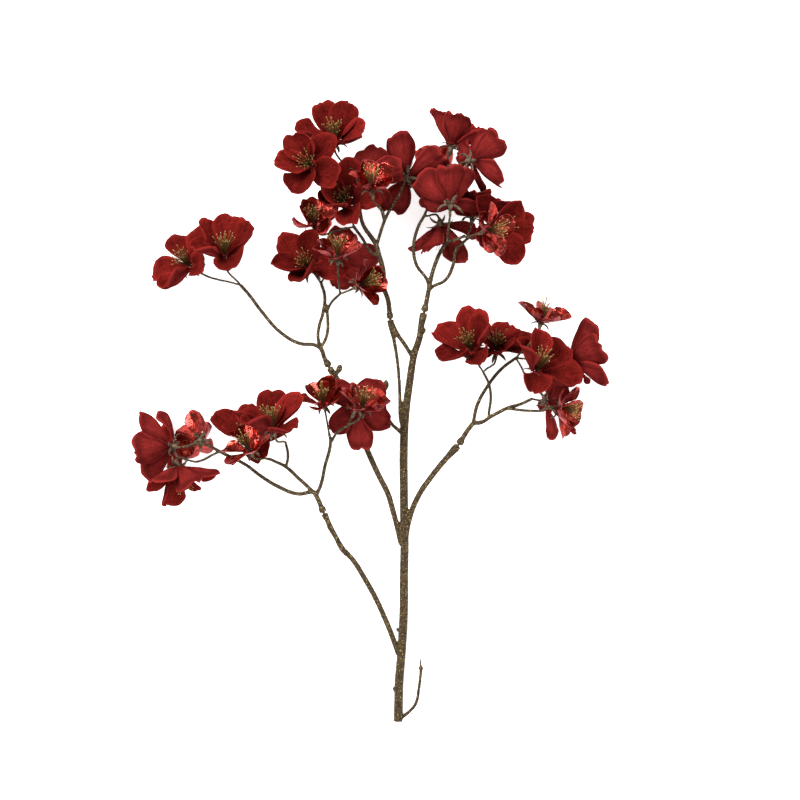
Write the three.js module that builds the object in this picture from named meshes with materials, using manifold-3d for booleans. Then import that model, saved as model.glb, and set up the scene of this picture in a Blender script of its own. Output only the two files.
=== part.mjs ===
// An artificial flowering branch, lying on its back: a brown moulded stem with side branches,
// five plugged-in flower heads, velvet blooms and smaller foil blooms.
// Millimetres. X runs across the branch, Y along the stem to the flowers, Z up off the surface.
// Every place below is measured from the middle of the stem's cut end, on the surface.
import * as THREE from 'three';
import { mergeVertices } from 'three/addons/utils/BufferGeometryUtils.js';
import Module from 'manifold-3d';

// Driving dimensions
const PETALS = 5;
const PLUG = { pin: 1.5, socket: 2.1, depth: 6 };
const VELVET = {
  length: 40, halfWidth: 14.5, rise: 34, tip: 12, cup: 7, thickness: 0.8, cloth: 'velvet',
  stamen: 24, stamenLean: 26, sepal: 15,
};
const FOIL = {
  length: 26, halfWidth: 10.5, rise: 44, tip: 18, cup: 4, thickness: 0.7, cloth: 'foil',
  stamen: 22, stamenLean: 26, sepal: 12,
};
const HUB = { hole: 2.6, root: 4.6 };
const CALYX = { height: 7, radius: 2.9, top: -1.2, neck: 1.4, boss: 2.2, bossFoot: 1.3, bossTop: 3.4 };
const STALK = 1.1;
const STAMEN = { root: 0.45, head: 0.75, headAt: 0.86 };
const PETAL_TWIST = 12;
const TIP_ROUNDING = 0.4;

const wasm = await Module();
wasm.setup();
const vector = (p) => new THREE.Vector3(p[0], p[1], p[2]);
const radians = THREE.MathUtils.degToRad;
const AXIS = new THREE.Vector3(0, 0, 1);

// Solids and joins
function solid(geometry) {
  geometry.deleteAttribute('normal');
  geometry.deleteAttribute('uv');
  const merged = mergeVertices(geometry, 1e-4);
  return new wasm.Manifold(new wasm.Mesh({
    numProp: 3,
    vertProperties: new Float32Array(merged.attributes.position.array),
    triVerts: new Uint32Array(merged.index.array),
  }));
}

function joined(solids) {
  return solids.reduce((whole, next) => whole.add(next));
}

function closedMesh(points, faces) {
  const geometry = new THREE.BufferGeometry();
  geometry.setAttribute('position', new THREE.Float32BufferAttribute(points.flat(), 3));
  geometry.setIndex(faces.flat());
  return geometry;
}

// A tapered limb: rings of the given radius round a smooth path, or a point where it is zero.
function limb(path, sides) {
  const curve = new THREE.CatmullRomCurve3(path.map(vector));
  const points = [];
  const rings = [];
  let side = new THREE.Vector3();
  path.forEach(([x, y, z, radius], i) => {
    const along = curve.getTangent(i / (path.length - 1));
    if (i === 0) side = new THREE.Vector3(along.y, -along.x, 0.3 * Math.abs(along.z));
    side = side.addScaledVector(along, -side.dot(along)).normalize().clone();
    const up = new THREE.Vector3().crossVectors(along, side);
    const count = radius > 0 ? sides : 1;
    rings.push({ first: points.length, count });
    for (let k = 0; k < count; k += 1) {
      const turn = (2 * Math.PI * (k + 0.5)) / sides;
      const spoke = side.clone().multiplyScalar(Math.cos(turn)).addScaledVector(up, Math.sin(turn));
      points.push(spoke.multiplyScalar(radius).add(new THREE.Vector3(x, y, z)).toArray());
    }
  });
  return solid(closedMesh(points, limbFaces(rings, sides)));
}

function limbFaces(rings, sides) {
  const faces = [];
  for (let i = 1; i < rings.length; i += 1) {
    for (let k = 0; k < sides; k += 1) {
      const next = (k + 1) % sides;
      const [a, b] = [rings[i - 1].first + k, rings[i - 1].first + next];
      if (rings[i].count === 1) {
        faces.push([a, b, rings[i].first]);
      } else {
        faces.push([a, b, rings[i].first + next], [a, rings[i].first + next, rings[i].first + k]);
      }
    }
  }
  const last = rings[rings.length - 1];
  for (let k = 1; k < sides - 1; k += 1) {
    faces.push([0, k + 1, k]);
    if (last.count > 1) faces.push([last.first, last.first + k, last.first + k + 1]);
  }
  return faces;
}

// Sockets and pins, where a flower head plugs into its branch
function socket(end, towards) {
  const { socket: radius, depth } = PLUG;
  const into = vector(end).sub(vector(towards)).normalize();
  const bottom = vector(end).addScaledVector(into, depth);
  const mouth = vector(end).addScaledVector(into, -2);
  return limb([[...bottom.toArray(), radius], [...mouth.toArray(), radius]], 6);
}

function plug(end, towards, radius) {
  const out = vector(towards).sub(vector(end)).normalize();
  const at = (distance, r) => [...vector(end).addScaledVector(out, distance).toArray(), r];
  const pin = limb([at(0.4 - PLUG.depth, PLUG.pin), at(2.4, PLUG.pin)], 5);
  const collar = limb([at(2, radius - 0.3), at(3, radius), at(6, radius), at(8.5, radius - 1.2)], 6);
  return pin.add(collar);
}

// Petals: a point of one petal's face, along it from 0 to 1 and across it from -1 to 1.
// x runs out from the bloom's middle, y across the petal and z along the bloom's axis.
function petalPoint(kind, shape, along, across) {
  const run = along * shape.length * (1 - TIP_ROUNDING * Math.abs(across) ** 2.4);
  const width = kind.halfWidth * (0.16 + 0.84 * Math.sin((along * Math.PI) / 2) ** 1.1);
  const [start, end] = [radians(shape.rise), radians(shape.tip)];
  const bend = end - start;
  const here = start + (bend * run) / shape.length;
  const y = across * width;
  const lift = kind.cup * across * across * along + y * Math.tan(radians(shape.twist));
  const out = (shape.length / bend) * (Math.sin(here) - Math.sin(start));
  const height = (shape.length / bend) * (Math.cos(start) - Math.cos(here));
  return [HUB.root + out - lift * Math.sin(here), y, height + lift * Math.cos(here)];
}

// How petal k of bloom number i differs from the plain one: by its own fold in degrees, up or
// down, and by a small fixed rule.
function petalShape(kind, i, k, fold) {
  const wobble = Math.sin(i * 2.1 + k * 4.7);
  const second = Math.sin(i * 1.3 + k * 2.9 + 1);
  return {
    length: kind.length * (1 + 0.05 * wobble),
    rise: kind.rise + fold + 4 * second,
    tip: kind.tip + fold + 8 * wobble,
    twist: PETAL_TWIST + 2 * second,
  };
}

// The petal's edge from one side of its root round the tip to the other, and its middle
const OUTLINES = {
  velvet: [[0, -1], [0.45, -1], [0.93, -1], [1, -0.48], [1, 0.48], [0.93, 1], [0.45, 1], [0, 1]],
  foil: [[0, -1], [0.75, -1], [1, -0.45], [1, 0.45], [0.75, 1], [0, 1]],
};
const MIDDLE = [0.55, 0];

// Five petals on a flat hub with a hole, as one closed skin: every point is given twice, on
// the face and, a petal's thickness behind it, on the back.
function petals(kind, i, folds) {
  const face = [];
  const skin = [];
  const edges = [];
  const outline = OUTLINES[kind.cloth];
  const size = outline.length + 1;
  for (let k = 0; k < PETALS; k += 1) {
    const shape = petalShape(kind, i, k, folds[k]);
    const turn = radians((360 / PETALS) * k);
    const lean = radians((shape.rise + shape.tip) / 2);
    const back = new THREE.Vector3(Math.sin(lean), 0, -Math.cos(lean)).multiplyScalar(kind.thickness);
    for (const [along, across] of [...outline, MIDDLE]) {
      face.push({ at: vector(petalPoint(kind, shape, along, across)), back, turn });
    }
    const first = k * size;
    const middle = first + outline.length;
    for (let a = 0; a < outline.length; a += 1) {
      const b = (a + 1) % outline.length;
      skin.push([first + a, first + b, middle]);
      if (b > 0) edges.push([first + a, first + b]);
    }
  }
  const rim = face.length;
  const inward = new THREE.Vector3(0, 0, -kind.thickness);
  for (let k = 0; k < PETALS; k += 1) {
    const turn = radians((360 / PETALS) * (k + 0.5));
    face.push({ at: new THREE.Vector3(HUB.hole, 0, 0), back: inward, turn });
    const next = (k + 1) % PETALS;
    const before = (k + PETALS - 1) % PETALS;
    const [rootStart, rootEnd] = [k * size, k * size + outline.length - 1];
    skin.push([rootStart, rootEnd, rim + k], [rootStart, rim + k, rim + before]);
    skin.push([rootEnd, next * size, rim + k]);
    edges.push([rootEnd, next * size], [rim + k, rim + before]);
  }
  const points = [
    ...face.map(({ at, turn }) => at.clone().applyAxisAngle(AXIS, turn).toArray()),
    ...face.map(({ at, back, turn }) => at.clone().add(back).applyAxisAngle(AXIS, turn).toArray()),
  ];
  const under = face.length;
  const faces = [
    ...skin, ...skin.map(([a, b, c]) => [b + under, a + under, c + under]),
    ...edges.flatMap(([a, b]) => [[a, a + under, b + under], [a, b + under, b]]),
  ];
  return solid(closedMesh(points, faces));
}

// The calyx behind the petals, a cup whose rim runs out into five sepals; the neck that goes
// through the petals' hole; and the boss on it, which bears a stamen on each side and on top
function flowerBack(kind) {
  const { height, radius, top, neck, boss, bossFoot, bossTop } = CALYX;
  const { root, head, headAt } = STAMEN;
  const ring = (out, z, turn = 0) => Array.from({ length: PETALS }, (_, k) => {
    const angle = radians((360 / PETALS) * (k + turn));
    return [out * Math.cos(angle), out * Math.sin(angle), z];
  });
  const points = [
    [0, 0, top - height], [0, 0, bossTop + kind.stamen], ...ring(radius, top - 1.2),
    ...ring(kind.sepal, top + 0.2, 0.5), ...ring(neck, top), ...ring(boss, bossFoot),
    ...ring(root, bossTop), ...ring(head, bossTop + kind.stamen * headAt),
  ];
  const [rim, sepal, foot, brim, crown, anther] = [2, 7, 12, 17, 22, 27];
  const faces = [];
  for (let k = 0; k < PETALS; k += 1) {
    const n = (k + 1) % PETALS;
    faces.push(
      [0, rim + n, rim + k], [rim + k, rim + n, sepal + k], [rim + k, sepal + k, foot + k],
      [sepal + k, rim + n, foot + n], [sepal + k, foot + n, foot + k],
      [foot + k, foot + n, brim + n], [foot + k, brim + n, brim + k],
      [brim + n, crown + n, crown + k], [crown + k, crown + n, anther + n],
      [crown + k, anther + n, anther + k], [anther + k, anther + n, 1],
      ...stamen(points, [brim + k, brim + n, crown + k], kind),
    );
  }
  return solid(closedMesh(points, faces));
}

// A stamen drawn out of one facet of the boss: a thin filament with a thicker head
function stamen(points, facet, kind) {
  const { root, head, headAt } = STAMEN;
  const corners = facet.map((at) => vector(points[at]));
  const middle = corners[0].clone().add(corners[1]).add(corners[2]).divideScalar(3);
  const lean = radians(kind.stamenLean);
  const side = Math.atan2(middle.y, middle.x);
  const along = new THREE.Vector3(
    Math.sin(lean) * Math.cos(side), Math.sin(lean) * Math.sin(side), Math.cos(lean),
  );
  const first = points.length;
  for (const [run, radius] of [[0, root], [kind.stamen * headAt, head]]) {
    const centre = middle.clone().addScaledVector(along, run);
    for (const corner of corners) {
      const spoke = corner.clone().sub(middle).normalize().multiplyScalar(radius);
      points.push(spoke.add(centre).toArray());
    }
  }
  points.push(middle.clone().addScaledVector(along, kind.stamen).toArray());
  const tip = first + 6;
  return [0, 1, 2].flatMap((a) => {
    const b = (a + 1) % 3;
    const [low, high] = [first + a, first + 3 + a];
    const [lowNext, highNext] = [first + b, first + 3 + b];
    return [
      [facet[a], facet[b], lowNext], [facet[a], lowNext, low], [low, lowNext, highNext],
      [low, highNext, high], [high, highNext, tip],
    ];
  });
}

// A bloom's own frame: z along the way it faces, x towards its first petal.
function bloomFrame({ at, faces, turn }) {
  const z = vector(faces).normalize();
  const first = new THREE.Vector3(Math.cos(radians(turn)), Math.sin(radians(turn)), 0);
  const x = first.addScaledVector(z, -first.dot(z)).normalize();
  const y = new THREE.Vector3().crossVectors(z, x);
  return new THREE.Matrix4().makeBasis(x, y, z).setPosition(vector(at));
}

const placed = (shape, bloom) => shape.transform(bloomFrame(bloom).toArray());

// The thin stalk from a twig's end to the back of a bloom's calyx
function stalk(bloom) {
  const back = vector(bloom.faces).normalize().negate();
  const foot = vector(bloom.at).addScaledVector(back, CALYX.height - CALYX.top - 1.5);
  const from = vector(bloom.from);
  const reach = 0.45 * from.distanceTo(foot);
  const route = new THREE.CubicBezierCurve3(
    from, from.clone().lerp(foot, 0.35), foot.clone().addScaledVector(back, reach), foot,
  );
  return limb([0, 0.5, 1].map((t) => [...route.getPoint(t).toArray(), STALK]), 3);
}

// Main stem, side branches and bare twigs: x, y, z and radius at each point
const STEM = [
  [-2, 0, 4.2, 4.6], [-1.5, 20, 4.2, 4.6], [-1, 40, 4.6, 4.6], [1, 64, 8, 4.5], [3.5, 104, 12, 4.5],
  [4, 144, 16, 4.4], [4.5, 179, 20, 4.4], [4, 224, 25, 4.3], [4, 284, 32, 4.2], [6, 314, 35, 4],
  [10, 344, 39, 3.9], [14, 369, 42, 3.6], [19.6, 386.5, 44, 3.3], [21.5, 400, 45, 3.3],
  [23, 407, 46, 3.9], [24, 411, 46, 3.7],
];
const BOTTOM_TWIG = [
  [1, 4, 5, 2], [10, 11, 7, 1.8], [16, 19, 9, 1.8], [19, 34, 12, 1.7], [21, 52, 15, 1.7],
  [21, 54.5, 15.5, 2.7], [20.7, 57, 16, 1.2], [20.5, 64, 17, 0.8],
];
const BUD_TWIG = [
  [3.9, 289, 33, 2], [-2.5, 294.5, 34, 1.9], [-8.6, 300.4, 34.5, 1.8], [-12.6, 308, 35, 1.6],
  [-14.4, 314, 36, 1.4], [-15.2, 327, 39, 1.4], [-15.4, 331.2, 39.4, 2.4], [-15.2, 333.8, 39.6, 1.7],
  [-14.4, 337.6, 40, 3.4], [-14, 341.4, 40.4, 3], [-13.7, 345, 40.8, 0],
];
const SIDE_BUD = [
  [-64.5, 346.5, 38, 1.4], [-63, 350.5, 39, 1.6], [-61, 354.8, 40, 3.2], [-59.8, 357.8, 40.5, 2.6],
  [-58.6, 360.1, 41, 0],
];
const NUBS = [
  [[2, 90, 10.5, 1.6], [-2.5, 93, 10.5, 1.7], [-4.4, 95, 10.5, 0]],
  [[-2, 29, 5, 1.8], [-5.6, 32.5, 5, 1.9], [-8, 35, 5, 0]],
  [[20.5, 389, 44, 1.5], [24.4, 393, 45, 1.7], [26, 396.5, 45, 0]],
];
const LOWER_LEFT = [
  [-2, 69, 9, 2.6], [-7, 84, 14, 2.8], [-15, 104, 18, 2.8], [-25, 126, 22, 2.8], [-35, 144, 25, 2.8],
  [-47.6, 164, 28, 2.7], [-58, 175, 31, 3.2], [-64, 186, 33, 2.6], [-69.6, 196, 35, 3.1],
  [-73, 204, 36, 2.7], [-75, 208, 37, 3.5], [-76, 210, 37.3, 3.3],
];
const MID_LEFT = [
  [1, 179, 20, 2.6], [-3.2, 198, 24, 2.9], [-7.2, 213.4, 27, 2.9], [-12.2, 230, 29, 2.9],
  [-21.7, 249, 28, 2.9], [-31.3, 270, 27, 2.9], [-45, 303, 26, 2.8], [-57.1, 336, 29, 2.8],
  [-64.3, 347, 39, 2.9], [-69, 353.5, 43.4, 3.5], [-70.4, 356, 44.3, 3.3],
];
const RIGHT = [
  [5, 179, 20, 2.6], [9.5, 205, 25, 2.9], [17.5, 226, 29, 2.9], [31.8, 247.6, 33, 2.9],
  [47.9, 267.2, 37, 3.1], [55, 275, 39, 4.1], [58, 278.3, 39.6, 3.8],
];
const UPPER_LEFT_NEAR = [
  [13, 366, 42, 2], [5, 379, 46, 2.2], [-2, 389, 49, 2.2], [-8, 400, 51, 2.4],
];
const UPPER_LEFT_FAR = [
  [4, 290, 33, 2], [0.5, 307, 36, 2], [0, 324, 39, 1.9], [-1, 346, 42, 1.8], [-3, 366, 45, 1.8],
  [-6, 384, 48, 2], [-9, 400, 51, 3.4], [-9.6, 404, 51.4, 3.3],
];

// A bloom: its hub, the way it faces, the direction of its first petal in degrees, how far each
// petal is folded up from the plain one in degrees, and the twig end that its stalk leaves
const velvet = (at, faces, turn, folds, from) => ({ kind: VELVET, at, faces, turn, folds, from });
const foil = (at, faces, turn, folds, from) => ({ kind: FOIL, at, faces, turn, folds, from });

// Flower heads: the collar's place and radius, the forked twigs and the blooms
const HEADS = {
  upper_left: {
    end: [-9.6, 404, 51.4], towards: [-12, 424, 56], collar: 3.4,
    twigs: [
      [[-10.2, 409, 52.5, 2.6], [-12, 424, 56, 2.5], [-15.4, 434, 57, 2.5], [-17, 454, 60, 2.6],
        [-21, 469, 61, 2.5], [-24, 479, 62, 2.5], [-37, 499.4, 64, 2.1], [-40, 512, 66, 1.9]],
      [[-21, 468, 61, 1.6], [-28, 471, 60, 1.6], [-38, 486, 59, 1.6], [-46, 497, 57, 1.7]],
      [[-23.4, 478, 62, 1.7], [-15.4, 503, 62, 1.7], [-8.2, 517.2, 58, 1.5], [0, 530, 53, 1.4]],
      [[-15.4, 502, 62, 1.4], [-16, 508, 76, 1.3], [-18, 513, 92, 1.3]],
      [[-40, 511, 66, 1.6], [-39, 527, 58, 1.5], [-47, 546, 51, 1.4], [-55, 558, 50, 1.3]],
      [[-15.4, 502, 62, 1.4], [-20, 517, 60, 1.4], [-27, 530, 62, 1.3]],
    ],
    blooms: [
      velvet([-66, 582, 50], [-0.05, 0.8, 0.55], 55, [30, 25, 0, 0, 5], [-55, 558, 50]),
      velvet([-88, 558, 84], [-0.3, 0.2, 0.95], 40, [15, 25, 30, 10, 0], [-55, 558, 50]),
      velvet([-39, 546, 63], [0.55, 0.35, -0.9], 75, [40, 0, -5, 10, 30], [-27, 530, 62]),
      foil([-28, 534, 104], [0, 0.9, 0.45], 45, [15, 20, 15, 0, -5], [-18, 513, 92]),
      velvet([-54, 521, 64], [-0.2, 0.4, 1], 0, [0, 5, 35, 40, 15], [-46, 497, 57]),
      foil([-86, 501, 36], [-0.05, 0.7, 0.75], 15, [0, -5, 30, 0, -5], [-46, 497, 57]),
      velvet([7, 548, 42], [0.15, 0.4, -0.9], 35, [-30, -25, -25, 25, -20], [0, 530, 53]),
    ],
  },
  mid_left: {
    end: [-70.4, 356, 44.3], towards: [-76, 367.2, 46], collar: 3.7,
    twigs: [
      [[-73.8, 362, 45, 2.6], [-76, 367.2, 46, 2.3], [-79, 375, 47, 2.4], [-85.3, 379, 47, 2],
        [-100, 380.5, 47, 2], [-119.3, 391.5, 47, 1.9], [-138.4, 412.5, 46, 1.9],
        [-150, 428, 45, 1.8], [-159.5, 439, 44, 1.8]],
      [[-79, 374, 47, 1.9], [-82, 387, 48, 1.8], [-81, 397.2, 48, 1.8], [-77.2, 410.6, 48, 1.8],
        [-75.3, 428, 48, 1.7], [-79, 441, 47, 1.6]],
      [[-80, 375, 47, 1.8], [-73.4, 388, 46, 1.8], [-72.4, 407, 46, 1.7], [-74.5, 420, 47.5, 1.6]],
      [[-73, 412, 47, 1.4], [-69, 421, 48, 1.4], [-60, 430, 49, 1.3]],
    ],
    blooms: [
      velvet([-90, 456, 50], [-0.35, 0.45, 0.75], 65, [30, 0, 30, 20, -25], [-79, 441, 47]),
      velvet([-62, 462, 37], [0.25, -0.15, -0.95], 20, [0, 40, 40, 0, 0], [-79, 441, 47]),
      foil([-62, 466, 88], [0, 0.9, 0.45], 70, [0, -15, 0, 0, 5], [-60, 430, 49]),
      foil([-40, 438, 74], [0.8, 0.35, 0.45], 0, [25, 35, 10, 0, 0], [-60, 430, 49]),
      velvet([-210, 459, 28], [-0.6, 0.5, 0.65], 40, [0, -20, -15, 0, 0], [-159.5, 439, 44]),
      velvet([-175, 467, 62], [-0.05, 0.9, 0.5], 80, [25, 25, 15, -15, 25], [-159.5, 439, 44]),
    ],
  },
  upper_right: {
    end: [24, 411, 46], towards: [28.4, 432.5, 50], collar: 3.7,
    twigs: [
      [[25.5, 417.5, 47, 2.6], [28.4, 432.5, 50, 2.5], [30, 441, 51, 2.4], [34.6, 458.3, 53, 2.1],
        [41.8, 474.4, 55, 2], [47, 481.5, 57, 1.9], [55, 484, 58, 1.6], [65, 488, 58, 1.5]],
      [[29, 438, 51, 1.8], [26, 446, 52, 1.8], [16.8, 458.3, 54, 1.8], [13.6, 476.1, 57, 1.8],
        [17.7, 495.8, 60, 1.7], [23.9, 507.4, 62, 1.6]],
      [[29, 434, 50, 1.9], [33, 437.5, 49, 1.8], [45.4, 444, 48, 1.8], [53.4, 460, 48, 1.8],
        [56, 474.4, 49, 1.7], [66, 484, 52, 1.5]],
      [[47, 480, 57, 1.5], [48, 490, 63, 1.4], [49.5, 505, 70, 1.3]],
      [[64, 488, 58, 1.4], [63.5, 487, 74, 1.4], [68, 486, 92, 1.3]],
      [[23, 506, 61, 1.4], [32, 524, 56, 1.4], [45.4, 546, 60, 1.3]],
    ],
    blooms: [
      velvet([52, 579, 40], [0.35, 1, -0.3], 40, [5, 35, 35, 25, 20], [45.4, 546, 60]),
      velvet([71, 563, 83], [0.75, 0.25, -0.6], 30, [-5, -5, 0, 0, 30], [45.4, 546, 60]),
      foil([37, 555, 26], [-0.15, 0.15, -0.95], 125, [0, 0, 0, 0, 0], [45.4, 546, 60]),
      velvet([50, 520, 100], [0, 0.7, -0.6], 25, [35, 0, 0, 5, 0], [49.5, 505, 70]),
      velvet([73, 508, 49], [0.2, 1, -0.25], 45, [0, 25, 0, 0, 0], [66, 484, 52]),
      velvet([41, 499, 41], [0.3, -1.2, -0.6], 60, [0, 35, -10, 10, 10], [23.9, 507.4, 62]),
      foil([87, 492, 105], [0.75, 0.15, 0.7], 85, [-10, -5, -10, -25, 0], [68, 486, 92]),
      velvet([94, 497, 61], [0.55, 0.1, 0.75], 0, [-20, 40, 0, 0, 0], [66, 484, 52]),
    ],
  },
  lower_left: {
    end: [-76, 210, 37.3], towards: [-83, 226.3, 40], collar: 3.7,
    twigs: [
      [[-78.5, 216, 38, 2.6], [-83, 226.3, 40, 2.5], [-87, 232, 41, 2.5], [-93.5, 231, 42, 2.1],
        [-102, 230, 43, 2], [-121.2, 237, 45, 2], [-138.4, 247.3, 46, 1.9], [-154, 259, 47, 1.9],
        [-176, 270.3, 48, 1.8], [-183, 274, 49, 1.7], [-193, 279, 52, 1.4],
        [-205, 280, 53, 1.3], [-211, 278.5, 51, 1.3]],
      [[-180, 272.5, 48, 1.3], [-188, 269, 48, 1.3], [-196, 264.5, 47, 1.3], [-204, 262, 46, 1.2]],
      [[-84, 229, 40, 1.9], [-90, 235, 41, 1.9], [-100.2, 244.4, 43, 1.9], [-115.5, 258, 44, 1.8],
        [-124, 262, 47, 1.6], [-131, 265.5, 50, 1.4]],
      [[-114, 257, 45, 1.5], [-112, 268.3, 47, 1.5], [-114.5, 282, 50, 1.4]],
      [[-84, 228, 40, 2], [-79, 240, 42, 1.9], [-75.3, 257, 45, 1.8], [-69.5, 282, 50, 1.7],
        [-71, 291, 53, 1.4]],
      [[-70, 280, 50, 1.5], [-62, 292.3, 56, 1.4], [-52, 298, 60, 1.3]],
    ],
    blooms: [
      velvet([-229, 278, 40], [-0.8, 0.15, -0.55], 30, [15, -5, 5, 5, 15], [-211, 278.5, 51]),
      velvet([-222, 256, 56], [0.25, -0.95, 0.25], 340, [0, 15, -5, 35, 5], [-204, 262, 46]),
      foil([-201, 285, 47], [-0.25, 0.2, -0.85], 25, [20, 10, 5, 25, 0], [-193, 279, 52]),
      velvet([-126, 295, 77], [-0.2, 1.1, 0.45], 30, [10, 25, 0, 15, -10], [-114.5, 282, 50]),
      velvet([-152, 284, 21], [-0.1, 0.7, 0.75], 85, [0, 0, 35, 0, 0], [-118, 259, 44]),
      foil([-150, 274, 67], [-0.35, 0.75, 0.55], 25, [-5, 0, -25, -25, 0], [-131, 265.5, 50]),
      foil([-76, 320, 65], [-0.15, 0.85, 0.7], 325, [5, 25, -15, 0, 0], [-71, 291, 53]),
      velvet([-43, 315, 63], [0.05, -0.2, -0.95], 60, [0, 20, 5, 20, 0], [-52, 298, 60]),
      foil([-38, 316, 85], [0.15, 0.8, 0.6], 40, [-15, 0, 10, 0, 0], [-52, 298, 60]),
    ],
  },
  right: {
    end: [58, 278.3, 39.6], towards: [69.3, 295.8, 43], collar: 3.9,
    twigs: [
      [[62, 284.5, 41, 2.7], [69.3, 295.8, 43, 2.5], [74.6, 301, 44, 2.5], [80, 301, 44, 2],
        [92, 308, 45, 2], [108.6, 316.3, 46, 1.9], [121, 320, 46, 1.6], [131.8, 325.2, 46, 1.5]],
      [[73, 299, 44, 1.9], [74.6, 308.3, 45, 1.9], [77.3, 319, 46, 2], [87, 337, 48, 1.8],
        [101.4, 355, 50, 1.7], [115.7, 366, 50, 1.6]],
      [[79, 302, 44, 1.5], [87.5, 305, 46, 1.5], [89, 312, 47, 1.5], [90.7, 329.7, 52, 1.5],
        [88, 342.2, 55, 1.4], [83, 352, 57, 1.3]],
      [[107, 315.5, 46, 1.4], [125, 313.5, 47, 1.4], [141, 313, 49, 1.3]],
    ],
    blooms: [
      velvet([71, 374, 67], [-0.25, 0.65, 0.7], 5, [30, 0, 0, 10, 0], [83, 352, 57]),
      velvet([97, 374, 28], [0, 0.65, 0.7], 75, [-20, 0, 0, 30, 0], [83, 352, 57]),
      foil([141, 403, 60], [0.25, 0.95, 0.4], 15, [-5, -10, -10, 0, 0], [115.7, 366, 50]),
      velvet([136, 353, 78], [0.4, 0.85, 0.5], 50, [0, 35, 25, -25, -15], [115.7, 366, 50]),
      velvet([172, 367, 38], [1.05, 0.3, -0.25], 55, [15, 10, 0, 5, 30], [115.7, 366, 50]),
      foil([158, 315, 74], [0.9, -0.1, 0.4], 45, [0, -5, 10, -20, 5], [141, 313, 49]),
      velvet([148, 323, 39], [0.85, -0.05, -0.4], 10, [-20, 0, 0, 0, 0], [131.8, 325.2, 46]),
    ],
  },
};

// Building
const FINISH = {
  bark: new THREE.MeshStandardMaterial({ color: '#5c4a2f', roughness: 0.75, metalness: 0 }),
  velvet: new THREE.MeshStandardMaterial({ color: '#7f1418', roughness: 0.95, metalness: 0 }),
  foil: new THREE.MeshStandardMaterial({ color: '#a3120f', roughness: 0.25, metalness: 0.8 }),
};
const group = new THREE.Group();
const belowSurface = solid(new THREE.BoxGeometry(900, 1300, 60).translate(0, 300, -30));

function addPart(name, shape, material) {
  const resting = shape.subtract(belowSurface);
  const { vertProperties, triVerts } = resting.getMesh();
  const geometry = new THREE.BufferGeometry();
  geometry.setAttribute('position', new THREE.BufferAttribute(vertProperties, 3));
  geometry.setIndex(new THREE.BufferAttribute(triVerts, 1));
  geometry.computeVertexNormals();
  const mesh = new THREE.Mesh(geometry, material);
  mesh.name = name;
  group.add(mesh);
}

function mainStem() {
  const limbs = [
    limb(STEM, 8), limb(BOTTOM_TWIG, 5), limb(BUD_TWIG, 5), limb(LOWER_LEFT, 5), limb(MID_LEFT, 5),
    limb(RIGHT, 6), limb(UPPER_LEFT_NEAR, 5), limb(UPPER_LEFT_FAR, 5), limb(SIDE_BUD, 5),
    ...NUBS.map((nub) => limb(nub, 3)),
  ];
  const sockets = ['upper_left', 'mid_left', 'upper_right', 'lower_left', 'right'].map(
    (name) => socket(HEADS[name].end, HEADS[name].towards),
  );
  return joined(limbs).subtract(joined(sockets));
}

function flowerHead({ end, towards, collar, twigs, blooms }) {
  const forks = twigs.map((twig) => limb(twig, twig[0][3] < 2.5 ? 4 : 5));
  const backs = blooms.map((bloom) => placed(flowerBack(bloom.kind), bloom));
  return joined([plug(end, towards, collar), ...forks, ...blooms.map(stalk), ...backs]);
}

addPart('main_stem', mainStem(), FINISH.bark);
let number = 0;
const count = { velvet: 0, foil: 0 };
for (const [name, head] of Object.entries(HEADS)) {
  addPart(`head_${name}`, flowerHead(head), FINISH.bark);
  for (const bloom of head.blooms) {
    const cloth = bloom.kind.cloth;
    number += 1;
    count[cloth] += 1;
    const sheet = petals(bloom.kind, number, bloom.folds);
    addPart(`petals_${cloth}_${count[cloth]}`, placed(sheet, bloom), FINISH[cloth]);
  }
}

// The origin is under the middle of the whole branch, on the surface.
const box = new THREE.Box3().setFromObject(group);
group.position.set(-(box.min.x + box.max.x) / 2, -(box.min.y + box.max.y) / 2, 0);

export default group;
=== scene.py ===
"""An artificial flowering branch on a pale light table: moulded stems, velvet and foil blooms."""

import math
import random

import bpy
import numpy as np
from mathutils import Matrix, Vector


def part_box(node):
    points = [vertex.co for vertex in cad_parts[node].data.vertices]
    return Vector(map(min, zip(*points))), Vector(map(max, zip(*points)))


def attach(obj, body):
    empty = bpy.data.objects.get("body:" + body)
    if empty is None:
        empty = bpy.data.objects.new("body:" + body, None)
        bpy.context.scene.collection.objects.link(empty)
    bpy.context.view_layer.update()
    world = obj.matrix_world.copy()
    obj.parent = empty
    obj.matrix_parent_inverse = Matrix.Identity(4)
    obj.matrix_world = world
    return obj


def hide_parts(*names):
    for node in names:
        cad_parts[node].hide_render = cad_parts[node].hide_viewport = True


bl_info = {
    "name": "Flowering Branch",
    "version": (1, 0, 0),
    "blender": (4, 5, 0),
    "location": "3D View > Sidebar > Branch",
    "description": "Builds the finished look of an artificial flowering branch round its packed solids",
    "category": "Object",
}

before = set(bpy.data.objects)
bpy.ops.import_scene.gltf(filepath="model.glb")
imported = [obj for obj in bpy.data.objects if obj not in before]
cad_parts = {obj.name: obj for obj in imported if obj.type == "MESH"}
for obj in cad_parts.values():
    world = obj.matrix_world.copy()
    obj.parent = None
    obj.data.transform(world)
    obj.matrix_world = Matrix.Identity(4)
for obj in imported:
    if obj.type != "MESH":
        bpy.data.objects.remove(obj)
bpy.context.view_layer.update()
MM = 0.001

# Where the middle of the stem's cut end lies in the frame, in mm. The tables below start there.
CUT_END = (30.786, -311.297)
CUT_END_SLACK = 1.0

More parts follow.
